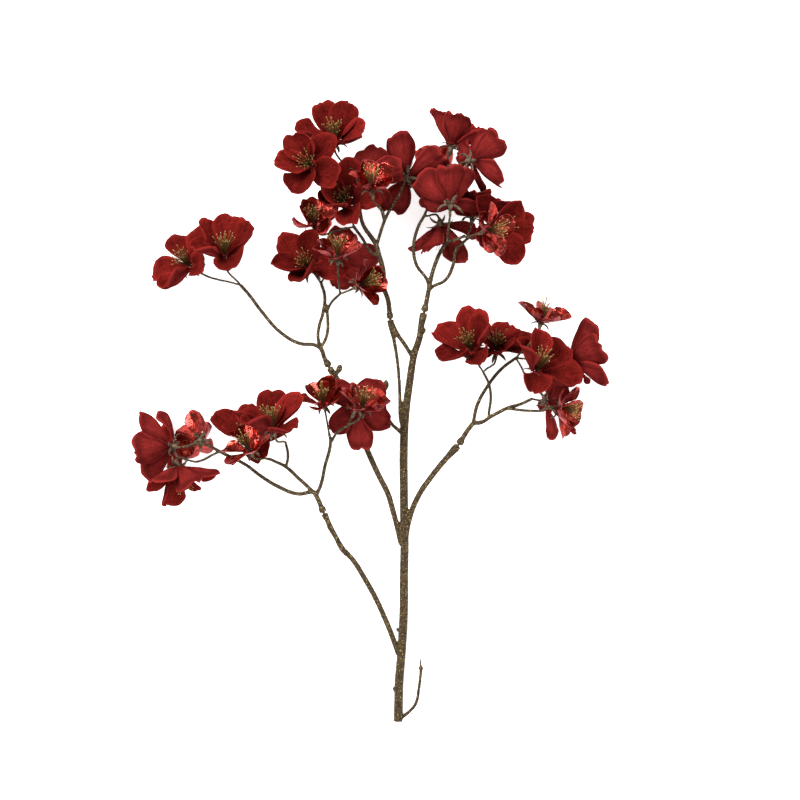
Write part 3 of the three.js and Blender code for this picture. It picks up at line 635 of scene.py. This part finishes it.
# Stems
def tube(paths, sides, steps=6):
    """Round tubes along smooth paths of x, y, z and radius in mm, as one mesh of closed parts."""
    deselect()
    bpy.ops.curve.primitive_bezier_curve_add()
    tubes = bpy.context.active_object
    curve = tubes.data
    curve.splines.clear()
    for path in paths:
        spline = curve.splines.new("BEZIER")
        spline.bezier_points.add(len(path) - 1)
        for point, (x, y, z, radius) in zip(spline.bezier_points, path):
            point.co = (x, y, z)
            point.radius = max(radius, THINNEST)
            point.handle_left_type = point.handle_right_type = "AUTO"
    curve.dimensions = "3D"
    curve.resolution_u = steps
    curve.bevel_depth = 1
    curve.bevel_resolution = sides // 2 - 2
    curve.use_fill_caps = True
    take(tubes)
    bpy.ops.object.convert(target="MESH")
    return tubes


def along_plug(head, distance, radius):
    """A point of a plug's line, so far beyond the branch's end."""
    end = Vector(head["end"])
    out = (Vector(head["towards"]) - end).normalized()
    return [*(end + out * distance), radius]


def stalk_path(bloom):
    """The thin stalk from a twig's end to the back of a bloom's calyx."""
    back = -Vector(bloom["faces"]).normalized()
    start = Vector(bloom["from"])
    foot = Vector(bloom["at"]) + back * (CALYX["height"] - CALYX["top"] - STALK["sunk"])
    reach = STALK["bend"] * (foot - start).length
    controls = [start, start.lerp(foot, STALK["straight"]), foot + back * reach, foot]
    path = []
    for t in (0, 0.25, 0.5, 0.75, 1):
        weights = [(1 - t) ** 3, 3 * t * (1 - t) ** 2, 3 * t * t * (1 - t), t ** 3]
        point = sum((c * w for c, w in zip(controls, weights)), Vector())
        path.append([*point, STALK["radius"] + STALK["flare"] * t ** 4])
    return path


def moulded(tubes, skin):
    """Melts crossing tubes into one moulded skin with a slightly uneven surface."""
    apply_modifier(tubes, "REMESH", mode="VOXEL", voxel_size=skin["voxel"], use_smooth_shade=True)
    apply_modifier(tubes, "SMOOTH", factor=0.6, iterations=2)
    lumps = bpy.data.textures.new("Moulded Lumps", "CLOUDS")
    lumps.noise_scale = LUMP_SIZE
    lumps.noise_depth = 3
    apply_modifier(tubes, "DISPLACE", texture=lumps, strength=skin["depth"], mid_level=0.5)
    bpy.data.textures.remove(lumps)
    return tubes


def into_frame(piece):
    piece.data.transform(Matrix.Translation(in_frame((0, 0, 0))) @ Matrix.Scale(MM, 4))


def main_stem_piece(materials):
    """The thick stem with its side branches, bare twigs, buds and spurs, and its sockets' holes."""
    limbs = [
        STEM, BOTTOM_TWIG, BUD_TWIG, SIDE_BUD, LOWER_LEFT, MID_LEFT, RIGHT, UPPER_LEFT_NEAR,
        UPPER_LEFT_FAR, *NUBS,
    ]
    stem = moulded(tube(limbs, sides=16), STEM_SKIN)
    holes = []
    for head in HEADS.values():
        holes.append([along_plug(head, end, PLUG["socket"]) for end in PLUG["socket_ends"]])
    cutter = tube(holes, sides=16, steps=1)
    apply_modifier(stem, "BOOLEAN", operation="DIFFERENCE", object=cutter, solver="EXACT")
    remove(cutter)
    resting(stem)
    set_materials(stem, materials)
    use_second_material(stem, points_of(stem)[:, 1] < CUT_FACE)
    into_frame(stem)
    finish(stem, "main_stem_bark", "main_stem")


def head_stem_piece(name, head, materials):
    """A flower head's forked twigs and stalks, its collar and the bare pin that plugs it in."""
    collar = [along_plug(head, distance, head["collar"] + wider) for distance, wider in COLLAR]
    pin = [along_plug(head, end, PLUG["pin"]) for end in PLUG["pin_ends"]]
    stalks = [stalk_path(bloom) for bloom in head["blooms"]]
    stems = moulded(tube([*head["twigs"], *stalks, collar, pin], sides=12), TWIG_SKIN)
    set_materials(stems, materials)
    out = np.array((Vector(head["towards"]) - Vector(head["end"])).normalized())
    points = points_of(stems) - np.array(head["end"])
    beyond = points @ out
    aside = np.linalg.norm(points - beyond[:, None] * out, axis=1)
    on_pin = (beyond < BARE_PIN["to"]) & (beyond > BARE_PIN["from"])
    use_second_material(stems, on_pin & (aside < BARE_PIN["radius"]))
    into_frame(stems)
    finish(stems, f"head_{name}_twigs", f"head_{name}")


# Calyxes and stamens
def turned(rings, sides):
    """A solid of revolution from rings of radius and height, drawn out of one circle."""
    deselect()
    radius, height = rings[0]
    bpy.ops.mesh.primitive_circle_add(
        vertices=sides, radius=radius, fill_type="NGON", location=(0, 0, height),
    )
    shape = bpy.context.active_object
    bpy.ops.object.transform_apply(location=True)
    bpy.ops.object.mode_set(mode="EDIT")
    bpy.ops.mesh.select_all(action="SELECT")
    for (before, low), (after, high) in zip(rings, rings[1:]):
        bpy.ops.mesh.extrude_region_move(TRANSFORM_OT_translate={"value": (0, 0, high - low)})
        bpy.ops.transform.resize(value=(after / before, after / before, 1), center_override=(0, 0, high))
    leave_edit_mode()
    return shape


def sepal(kind, rng):
    """A narrow pointed sepal that lies back from the petals and curls at its tip."""
    blade, along, across = grid(*SEPAL["grid"])
    length = kind["sepal"] * rng.uniform(0.78, 1)
    start = math.radians(rng.uniform(-5, 22))
    fall = math.radians(rng.uniform(-130, -40))
    lean = start + fall * along ** 1.6
    steps = np.linspace(0, 1, SEPAL["spine"])
    leans = start + fall * steps ** 1.6
    out = np.interp(along, steps, np.cumsum(np.cos(leans)) / SEPAL["spine"]) * length
    rise = np.interp(along, steps, np.cumsum(np.sin(leans)) / SEPAL["spine"]) * length
    width = SEPAL["width"] * (1 - along ** 1.5) * (0.75 + 0.9 * along) + SEPAL["tip"]
    keel = SEPAL["keel"] * np.abs(across) * width
    skew = rng.uniform(-2.2, 2.2) * along ** 2
    x = SEPAL["root"] + out - keel * np.sin(lean)
    z = CALYX["top"] - SEPAL["drop"] + rise + keel * np.cos(lean)
    set_points(blade, np.stack([x, across * width + skew, z], axis=1))
    return blade


def calyx(kind, number, materials):
    """The cup behind a bloom, its five curling sepals and the darker boss that bears the stamens."""
    rng = random.Random(SEEDS["calyxes"] + number)
    cup = turned(CALYX_RINGS, 12)
    set_materials(cup, materials)
    use_second_material(cup, points_of(cup)[:, 2] > CALYX["top"] - 0.1)
    blades = []
    for k in range(PETALS):
        blade = sepal(kind, rng)
        turn = math.tau / PETALS * (k + 0.5) + rng.uniform(-0.16, 0.16)
        blade.data.transform(Matrix.Rotation(turn, 4, "Z"))
        blades.append(blade)
    star = joined(blades)
    set_materials(star, materials)
    apply_modifier(star, "SOLIDIFY", thickness=SEPAL_THICKNESS, offset=-1)
    return joined([cup, star])


def stamen_path(kind, j, count, rng):
    """Stamen j of a brush: the golden angle spreads them evenly from the middle outwards."""
    spread = math.sqrt((j + 0.5) / count)
    side = j * GOLDEN_ANGLE + rng.uniform(-0.25, 0.25)
    lean = math.radians(kind["lean"]) * spread * rng.uniform(0.8, 1.05)
    length = kind["stamen"] * rng.uniform(0.62, 1.04)
    path = []
    for t, radius in STAMEN_RINGS:
        here = lean * (0.55 + 0.45 * t)
        out = STAMEN_FOOT["radius"] * spread + math.sin(here) * length * t
        height = STAMEN_FOOT["height"] - STAMEN_FOOT["fall"] * spread + math.cos(here) * length * t
        path.append([out * math.cos(side), out * math.sin(side), height, radius])
    return path


def stamen_brush(kind, count, seed, materials):
    """A bloom's brush: thin filaments with a small pollen bead on each, on the bloom's axis."""
    rng = random.Random(seed)
    paths = [stamen_path(kind, j, count, rng) for j in range(count)]
    filaments = tube(paths, sides=4, steps=2)
    set_materials(filaments, materials)
    deselect()
    bpy.ops.mesh.primitive_uv_sphere_add(**BEAD)
    bead = bpy.context.active_object
    set_materials(bead, materials)
    bead.data.polygons.foreach_set("material_index", [1] * len(bead.data.polygons))
    beads = []
    for path in paths:
        tip = Vector(path[-1][:3])
        along = (tip - Vector(path[-2][:3])).normalized()
        turn = along.to_track_quat("Z", "Y").to_matrix().to_4x4()
        size = Matrix.Diagonal((1, 1, rng.uniform(1.3, 1.8), 1))
        beads.append(copied(bead, Matrix.Translation(tip) @ turn @ size))
    remove(bead)
    brush = joined([filaments, *beads])
    store(brush, "rise", np.clip((points_of(brush)[:, 2] - 2) / kind["stamen"], 0, 1))
    return brush


def calyx_piece(name, blooms, materials):
    """All the calyxes of one flower head."""
    whole = []
    for number, bloom in blooms:
        one = calyx(bloom["kind"], number, materials)
        one.data.transform(bloom_frame(bloom))
        whole.append(one)
    piece = joined(whole)
    resting(piece)
    finish(piece, f"head_{name}_calyxes", f"head_{name}")


def stamen_piece(name, blooms, brushes):
    """All the stamens of one flower head, each brush turned differently."""
    whole = []
    for number, bloom in blooms:
        rng = random.Random(SEEDS["turns"] + number)
        model = rng.choice(brushes[bloom["kind"]["cloth"]])
        turn = Matrix.Rotation(rng.uniform(0, math.tau), 4, "Z")
        whole.append(copied(model, bloom_frame(bloom) @ turn))
    piece = joined(whole)
    resting(piece)
    finish(piece, f"head_{name}_stamens", f"head_{name}")


# Materials
def linear(hex_colour):
    """An sRGB hex colour such as #7f1418 as linear red, green, blue and alpha."""
    parts = [int(hex_colour[i:i + 2], 16) / 255 for i in (1, 3, 5)]
    return (*[p / 12.92 if p <= 0.04045 else ((p + 0.055) / 1.055) ** 2.4 for p in parts], 1)


def scaled(colour, factor):
    """A linear colour made darker or lighter."""
    return [min(1, c * factor) for c in colour[:3]] + [1]


WHITE = (1, 1, 1, 1)
BLACK = (0, 0, 0, 1)
COLOURS = {"data_type": "RGBA"}


def add_node(material, kind, inputs=None, **options):
    """Adds a node with its settings. Its inputs are given by name or number, each as a value, a
    socket to link, or a node whose first output in use is linked."""
    made = material.node_tree.nodes.new(f"ShaderNode{kind}")
    for name, value in options.items():
        setattr(made, name, value)
    for name, value in (inputs or {}).items():
        if isinstance(value, bpy.types.Node):
            value = next(socket for socket in value.outputs if socket.enabled)
        if isinstance(value, bpy.types.NodeSocket):
            material.node_tree.links.new(value, made.inputs[name])
        else:
            made.inputs[name].default_value = value
    return made


def new_material(name):
    """An empty material, and the coordinates that its patterns read."""
    material = bpy.data.materials.new(name)
    material.use_nodes = True
    material.node_tree.nodes.clear()
    return material, add_node(material, "TexCoord").outputs


def with_surface(material, inputs):
    """Ends a material in one Principled surface."""
    surface = add_node(material, "BsdfPrincipled", inputs)
    add_node(material, "OutputMaterial", {"Surface": surface})
    return material


def per_metre(millimetres):
    """The scale that makes a pattern's cells this large on Object coordinates."""
    return 1 / (millimetres * MM)


def laid_over(material, under, over, pattern, none_at, all_at, share=1, blend="MIX"):
    """A colour laid over another, from not at all where a pattern has one value to its whole
    share where it has another."""
    cover = add_node(
        material, "MapRange",
        {"Value": pattern, "From Min": none_at, "From Max": all_at, "To Max": share},
        interpolation_type="SMOOTHSTEP",
    )
    return add_node(material, "Mix", {"Factor": cover, "A": under, "B": over}, blend_type=blend, **COLOURS)


def speckled(material, under, over, dark, light, pattern, reach):
    """A colour that a fine grain darkens and, with another colour, lightens by turns."""
    darker = add_node(material, "Mix", {"Factor": dark, "A": under, "B": BLACK}, **COLOURS)
    lighter = add_node(material, "Mix", {"Factor": light, "A": under, "B": over}, **COLOURS)
    return laid_over(material, darker, lighter, pattern, 0.5 - reach, 0.5 + reach)


def petal_patterns(material, place, streak_spacing, patch_size):
    """Streaks that run out along a petal, soft patches, its tone and how near its rim a point is."""
    streaks_across = 2 * VELVET["half_width"] / streak_spacing
    drawn_out = add_node(
        material, "Mapping", {"Vector": place["UV"], "Scale": (2.5, streaks_across, 1)},
    )
    tone = add_node(material, "Attribute", attribute_name="tone")
    shifted = add_node(material, "VectorMath", {0: drawn_out, 1: tone.outputs["Vector"]}, operation="ADD")
    streaks = add_node(
        material, "TexNoise", {"Vector": shifted, "Scale": 1, "Detail": 3, "Roughness": 0.6},
    )
    patches = add_node(
        material, "TexNoise", {"Vector": place["Object"], "Scale": per_metre(patch_size), "Detail": 2},
    )
    parts = add_node(material, "SeparateXYZ", {"Vector": place["UV"]}).outputs
    centred = add_node(material, "Math", {0: parts["Y"], 1: 2, 2: -1}, operation="MULTIPLY_ADD")
    aside = add_node(material, "Math", {0: centred}, operation="ABSOLUTE")
    outer = add_node(material, "Math", {0: aside, 1: parts["X"]}, operation="MAXIMUM")
    return {
        "streaks": streaks, "patches": patches, "tone": tone.outputs["Fac"], "along": parts["X"],
        "outer": outer,
    }


def velvet_pile(colour):
    """Flocked polyester velvet: a short dense pile, with painted shade in the petal's hollow towards its
    root and a paler rim, partly pale cut fibres and partly a painted highlight, with streaks where the
    petal was heat-pressed and faint patches of crushed pile."""
    material, place = new_material("Flocked polyester velvet")
    pattern = petal_patterns(material, place, streak_spacing=1.5, patch_size=6)
    streaked = laid_over(material, scaled(colour, 0.5), colour, pattern["streaks"], 0.32, 0.66)
    crushed = laid_over(material, streaked, scaled(colour, 1.7), pattern["patches"], 0.4, 0.72, 0.34)
    # Painted shade: the pile darkens from the middle of the petal down to its root, where the cup's hollow
    # lies in shade.
    shaded_root = laid_over(material, crushed, scaled(colour, 0.22), pattern["along"], 0.62, 0.04)
    # Single fibres are too fine to show, so the grain is drawn 1.3 mm coarse.
    grain = add_node(
        material, "TexNoise",
        {"Vector": place["Object"], "Scale": per_metre(1.3), "Detail": 3, "Roughness": 0.7},
    )
    grained = speckled(material, shaded_root, scaled(colour, 2), 0.34, 0.26, grain, 0.14)
    # Partly painted highlight: the rim is lightened for its pale cut fibres and for the light that a
    # curled rim catches.
    rim = laid_over(material, grained, scaled(colour, 2.1), pattern["outer"], 0.86, 1, 0.4)
    toned = laid_over(material, rim, (0.6, 0.6, 0.6, 1), pattern["tone"], 0, 1, blend="MULTIPLY")
    raised = add_node(material, "Math", {0: pattern["streaks"], 1: grain}, operation="ADD")
    height = add_node(
        material, "Math", {0: pattern["patches"], 1: 1.5, 2: raised}, operation="MULTIPLY_ADD",
    )
    bump = add_node(material, "Bump", {"Height": height, "Strength": 0.9, "Distance": 0.8 * MM})
    return with_surface(material, {
        "Base Color": toned, "Roughness": 0.95, "Normal": bump, "Specular IOR Level": 0,
        "Sheen Weight": 0.2, "Sheen Roughness": 0.35, "Sheen Tint": linear("#e04a40"),
    })


def velvet_backing(colour):
    """The woven satin that carries the pile: a shade rosier, with the pressed streaks, painted shade
    towards the calyx and in a band inside the petals' rims, and a painted highlight on the rims
    themselves."""
    material, place = new_material("Woven satin backing")
    pattern = petal_patterns(material, place, streak_spacing=1.2, patch_size=12)
    streaked = laid_over(material, scaled(colour, 0.62), colour, pattern["streaks"], 0.3, 0.7)
    worn = laid_over(material, streaked, scaled(colour, 1.4), pattern["patches"], 0.4, 0.8, 0.5)
    # Painted shade: the satin darkens towards the calyx, where the petals' backs lie in shade.
    shaded_root = laid_over(material, worn, scaled(colour, 0.35), pattern["along"], 0.45, 0.02)
    # The satin's threads are 0.2 mm apart. They are drawn as a grain 1.2 mm coarse.
    grain = add_node(
        material, "TexNoise",
        {"Vector": place["Object"], "Scale": per_metre(1.2), "Detail": 2, "Roughness": 0.7},
    )
    grained = speckled(material, shaded_root, scaled(colour, 2), 0.25, 0.15, grain, 0.16)
    # Painted shade: a dark band inside the rim, for the shade where a curled rim or a neighbouring petal
    # overlaps.
    shaded_band = laid_over(material, grained, BLACK, pattern["outer"], 0.66, 0.86, 0.4)
    # Painted highlight: the rim is lightened for the light that the curled rim catches.
    rim = laid_over(material, shaded_band, scaled(colour, 1.15), pattern["outer"], 0.9, 1)
    bump = add_node(
        material, "Bump", {"Height": pattern["streaks"], "Strength": 0.9, "Distance": 0.8 * MM},
    )
    return with_surface(material, {
        "Base Color": rim, "Roughness": 0.8, "Normal": bump, "Specular IOR Level": 0,
        "Sheen Weight": 0.05, "Sheen Roughness": 0.4, "Sheen Tint": linear("#e04a44"),
    })


def metallised_film(name, colour, roughness, thin):
    """Metallised polyester film, dyed red: mirror-like, crinkled lengthways where it was pleated, so it
    breaks the light into bright lines and dark ones. Its colour also holds painted reflections: soft dark
    patches for dark surroundings, and pale streaks as painted highlights, as strong as thin says."""
    material, place = new_material(name)
    pattern = petal_patterns(material, place, streak_spacing=3.4, patch_size=7)
    # Painted reflection: soft dark patches stand in for the dark surroundings that the mirror-like film
    # would reflect.
    dyed = laid_over(material, scaled(colour, 0.45), colour, pattern["patches"], 0.38, 0.68)
    # Painted highlight: pale streaks along the crinkles, as much as thin gives, stand in for the light
    # that the film's back catches.
    streak_highlights = laid_over(material, dyed, linear("#cc8672"), pattern["streaks"], 0.55, 0.75, thin)
    buckle = add_node(
        material, "TexNoise",
        {"Vector": place["Object"], "Scale": per_metre(7), "Detail": 1, "Distortion": 0.8},
    )
    height = add_node(material, "Math", {0: buckle, 1: pattern["streaks"]}, operation="ADD")
    bump = add_node(material, "Bump", {"Height": height, "Strength": 0.7, "Distance": 1.2 * MM})
    return with_surface(material, {
        "Base Color": streak_highlights, "Metallic": 0.9, "Roughness": roughness, "Normal": bump,
        "Specular Tint": linear("#e8785e"), "Coat Weight": 0.4, "Coat Roughness": 0.1,
        "Coat Normal": bump,
    })


def glittered_plastic(name, ground, mottle, flakes):
    """Moulded polyethylene, sprayed brown and dusted with glitter: matt and mottled, with flakes
    of gold that catch the light one by one."""
    material, place = new_material(name)
    cloud = add_node(
        material, "TexNoise",
        {"Vector": place["Object"], "Scale": per_metre(2.4), "Detail": 4, "Roughness": 0.65},
    )
    sprayed = laid_over(material, ground, mottle, cloud, 0.36, 0.66)
    # Real flakes are 0.2 mm. They are drawn 0.7 mm coarse, or they would not show.
    flake = add_node(
        material, "TexVoronoi", {"Vector": place["Object"], "Scale": per_metre(0.7), "Randomness": 1},
    )
    lot = add_node(material, "SeparateColor", {"Color": flake.outputs["Color"]}).outputs
    shows = add_node(material, "Math", {0: lot["Red"], 1: 1 - flakes}, operation="GREATER_THAN")
    gold = {"Factor": lot["Green"], "A": linear("#7a6430"), "B": linear("#c4b074")}
    glitter = add_node(material, "Mix", gold, **COLOURS)
    coloured = add_node(material, "Mix", {"Factor": shows, "A": sprayed, "B": glitter}, **COLOURS)
    height = add_node(material, "Math", {0: cloud, 1: lot["Blue"], 2: 0.6}, operation="MULTIPLY_ADD")
    bump = add_node(material, "Bump", {"Height": height, "Strength": 0.7, "Distance": 0.5 * MM})
    roughness = add_node(material, "MapRange", {"Value": shows, "To Min": 0.68, "To Max": 0.3})
    metallic = add_node(material, "Math", {0: shows, 1: 0.6}, operation="MULTIPLY")
    return with_surface(material, {
        "Base Color": coloured, "Metallic": metallic, "Roughness": roughness, "Normal": bump,
        "Specular IOR Level": 0.2,
    })


def bare_plastic(name, hex_colour):
    """Unpainted moulded polyethylene, where the spray does not reach: waxy and faintly cloudy."""
    material, place = new_material(name)
    colour = linear(hex_colour)
    cloud = add_node(
        material, "TexNoise", {"Vector": place["Object"], "Scale": per_metre(1.5), "Detail": 2},
    )
    cloudy = add_node(material, "Mix", {"Factor": cloud, "A": scaled(colour, 0.7), "B": colour}, **COLOURS)
    return with_surface(material, {"Base Color": cloudy, "Roughness": 0.5})


def stamen_thread():
    """Waxed thread, dyed red-brown at its root and dusted gold towards its tip."""
    material, place = new_material("Waxed thread")
    rise = add_node(material, "Attribute", attribute_name="rise").outputs["Fac"]
    lower = laid_over(material, linear("#34100a"), linear("#453010"), rise, 0, 0.35)
    gold = laid_over(material, lower, linear("#76602a"), rise, 0.3, 0.95)
    # Gold dust is too fine to show, so it is drawn 0.8 mm coarse.
    dust = add_node(
        material, "TexNoise", {"Vector": place["Object"], "Scale": per_metre(0.8), "Detail": 1},
    )
    dusted = laid_over(material, gold, linear("#8a7438"), dust, 0.5, 0.75)
    return with_surface(material, {"Base Color": dusted, "Roughness": 0.5, "Metallic": 0.15})


def pollen_bead():
    """Dried bead of glue and gold powder: pale and grainy."""
    material, place = new_material("Gold powdered bead")
    # The powder's grains are about 0.1 mm. They are drawn 0.6 mm coarse.
    powder = add_node(
        material, "TexNoise", {"Vector": place["Object"], "Scale": per_metre(0.6), "Detail": 1},
    )
    grains = laid_over(material, linear("#7e6a34"), linear("#c4ae6c"), powder, 0.35, 0.65)
    return with_surface(material, {"Base Color": grains, "Roughness": 0.45, "Metallic": 0.2})


def light_table():
    """Opal acrylic, lit softly from below, as a studio's light table: nearly white."""
    material, place = new_material("Opal acrylic")
    cloud = add_node(
        material, "TexNoise", {"Vector": place["Object"], "Scale": per_metre(40), "Detail": 2},
    )
    white = {"Factor": cloud, "A": linear("#f8f8f8"), "B": linear("#fbfbfb")}
    return with_surface(material, {
        "Base Color": add_node(material, "Mix", white, **COLOURS), "Roughness": 0.9,
        "Specular IOR Level": 0.1, "Emission Color": WHITE, "Emission Strength": TABLE_LIGHT,
    })


# Studio
def lay_table():
    deselect()
    bpy.ops.mesh.primitive_plane_add(size=TABLE_SIZE, location=(0, 0, TABLE_TOP * MM))
    table = bpy.context.active_object
    bpy.ops.object.transform_apply(location=True)
    table.name = "floor"
    set_materials(table, [light_table()])


def set_lights():
    """An even white surround and three soft lights, each turned towards the frame's middle."""
    world = bpy.data.worlds.new("Soft studio")
    world.use_nodes = True
    background = world.node_tree.nodes["Background"]
    background.inputs["Color"].default_value = WHITE
    background.inputs["Strength"].default_value = WORLD_LIGHT
    bpy.context.scene.world = world
    for name, place, size, power in LIGHTS:
        deselect()
        bpy.ops.object.light_add(type="AREA", location=place)
        lamp = bpy.context.active_object
        lamp.name = name
        lamp.data.shape = "DISK"
        lamp.data.size = size
        lamp.data.energy = power
        lamp.rotation_euler = Vector(place).to_track_quat("Z", "Y").to_euler()


def set_camera(distance):
    """A camera that looks straight down, as the photograph does on the branch."""
    deselect()
    place = in_frame(VIEW_MIDDLE)
    place.z += distance
    bpy.ops.object.camera_add(location=place, rotation=(0, 0, 0))
    camera = bpy.context.active_object
    camera.name = "camera"
    camera.data.sensor_width = SENSOR
    camera.data.lens = LENS
    camera.data.clip_end = 50
    scene = bpy.context.scene
    scene.camera = camera
    scene.view_settings.view_transform = "Standard"
    scene.view_settings.look = "None"


# Sizes and colours that a user would change
COLOUR = {"subtype": "COLOR", "size": 4, "min": 0, "max": 1}


class BranchSettings(bpy.types.PropertyGroup):
    velvet_colour: bpy.props.FloatVectorProperty(
        name="Velvet", description="Colour of the velvet's pile", default=linear("#7b1f1b"), **COLOUR,
    )
    backing_colour: bpy.props.FloatVectorProperty(
        name="Backing", description="Colour of the velvet's woven back", default=linear("#792321"),
        **COLOUR,
    )
    foil_colour: bpy.props.FloatVectorProperty(
        name="Film", description="Colour of the metallised film", default=linear("#a42617"), **COLOUR,
    )
    bark_colour: bpy.props.FloatVectorProperty(
        name="Bark", description="Ground colour of the sprayed stems", default=linear("#2b2012"),
        **COLOUR,
    )
    ruffle: bpy.props.FloatProperty(
        name="Ruffle", description="How strongly the petals' rims wave, 1 as photographed",
        default=1, min=0, max=2, subtype="FACTOR",
    )
    stamens: bpy.props.IntProperty(
        name="Stamens", description="How many stamens each bloom's brush has",
        default=28, min=6, max=40,
    )
    flakes: bpy.props.FloatProperty(
        name="Glitter", description="The share of the stems that glitter flakes cover",
        default=0.06, min=0, max=1, subtype="FACTOR",
    )
    camera_distance: bpy.props.FloatProperty(
        name="Camera distance", description="From the blooms' middle height up to the camera",
        default=6.667, min=1, max=20, unit="LENGTH",
    )


def settings():
    return bpy.context.scene.branch_settings


class BRANCH_OT_studio(bpy.types.Operator):
    """Sets the pale light table, the soft lights and the camera that looks straight down"""

    bl_idname = "branch.studio"
    bl_label = "Studio"

    def execute(self, context):
        lay_table()
        set_lights()
        set_camera(settings().camera_distance)
        return {"FINISHED"}


class BRANCH_OT_main_stem(bpy.types.Operator):
    """Models the main stem with its side branches, twigs, buds and sockets"""

    bl_idname = "branch.main_stem"
    bl_label = "Main Stem"

    def execute(self, context):
        check_frame_place()
        bark = glittered_plastic(
            "Glittered polyethylene", settings().bark_colour, linear("#52412a"), settings().flakes,
        )
        main_stem_piece([bark, bare_plastic("Cut polyethylene", "#3a2f20")])
        return {"FINISHED"}


class BRANCH_OT_flower_heads(bpy.types.Operator):
    """Models each flower head's forked twigs, stalks, collar and pin"""

    bl_idname = "branch.flower_heads"
    bl_label = "Flower Head Twigs"

    def execute(self, context):
        bark = glittered_plastic(
            "Glittered twig polyethylene", settings().bark_colour, linear("#554530"), settings().flakes,
        )
        pin = bare_plastic("Bare tan polyethylene", "#6a5434")
        for name, head in HEADS.items():
            head_stem_piece(name, head, [bark, pin])
        return {"FINISHED"}


class BRANCH_OT_calyxes(bpy.types.Operator):
    """Models the calyx behind every bloom, with its five curling sepals"""

    bl_idname = "branch.calyxes"
    bl_label = "Calyxes"

    def execute(self, context):
        skin = glittered_plastic(
            "Sprayed sepal polyethylene", linear("#3e3128"), linear("#786450"),
            SEPAL_GLITTER * settings().flakes,
        )
        boss = bare_plastic("Dark red polyethylene", "#3a1410")
        for name, blooms in numbered_heads():
            calyx_piece(name, blooms, [skin, boss])
        return {"FINISHED"}


class BRANCH_OT_stamens(bpy.types.Operator):
    """Models the brush of stamens in every bloom"""

    bl_idname = "branch.stamens"
    bl_label = "Stamens"

    def execute(self, context):
        materials = [stamen_thread(), pollen_bead()]
        count = settings().stamens
        brushes = {}
        for kind in (VELVET, FOIL):
            brushes[kind["cloth"]] = [stamen_brush(kind, count, seed, materials) for seed in BRUSH_SEEDS]
        for name, blooms in numbered_heads():
            stamen_piece(name, blooms, brushes)
        for brush in [*brushes["velvet"], *brushes["foil"]]:
            remove(brush)
        return {"FINISHED"}


class BRANCH_OT_velvet_blooms(bpy.types.Operator):
    """Models the velvet blooms, five waved petals each"""

    bl_idname = "branch.velvet_blooms"
    bl_label = "Velvet Blooms"

    def execute(self, context):
        pile = velvet_pile(settings().velvet_colour)
        all_petals(VELVET, [pile, velvet_backing(settings().backing_colour)])
        return {"FINISHED"}


class BRANCH_OT_foil_blooms(bpy.types.Operator):
    """Models the smaller blooms of crinkled metallised film"""

    bl_idname = "branch.foil_blooms"
    bl_label = "Foil Blooms"

    def execute(self, context):
        colour = settings().foil_colour
        face = metallised_film("Dyed metallised film", colour, 0.22, 0)
        all_petals(FOIL, [face, metallised_film("Metallised film's back", colour, 0.3, 0.2)])
        return {"FINISHED"}


class BRANCH_PT_panel(bpy.types.Panel):
    """Lists the branch's settings and the buttons that build its pieces"""

    bl_idname = "BRANCH_PT_panel"
    bl_label = "Flowering Branch"
    bl_space_type = "VIEW_3D"
    bl_region_type = "UI"
    bl_category = "Branch"

    def draw(self, context):
        for name in BranchSettings.__annotations__:
            self.layout.prop(settings(), name)
        for operator in OPERATORS:
            self.layout.operator(operator.bl_idname)


OPERATORS = (
    BRANCH_OT_studio, BRANCH_OT_main_stem, BRANCH_OT_flower_heads, BRANCH_OT_calyxes,
    BRANCH_OT_stamens, BRANCH_OT_velvet_blooms, BRANCH_OT_foil_blooms,
)
CLASSES = (BranchSettings, *OPERATORS, BRANCH_PT_panel)


def register():
    for cls in CLASSES:
        bpy.utils.register_class(cls)
    bpy.types.Scene.branch_settings = bpy.props.PointerProperty(type=BranchSettings)


def unregister():
    del bpy.types.Scene.branch_settings
    for cls in reversed(CLASSES):
        bpy.utils.unregister_class(cls)


def main():
    register()
    bpy.ops.branch.studio()
    bpy.ops.branch.main_stem()
    bpy.ops.branch.flower_heads()
    bpy.ops.branch.calyxes()
    bpy.ops.branch.stamens()
    bpy.ops.branch.velvet_blooms()
    bpy.ops.branch.foil_blooms()


if __name__ == "__main__":
    main()
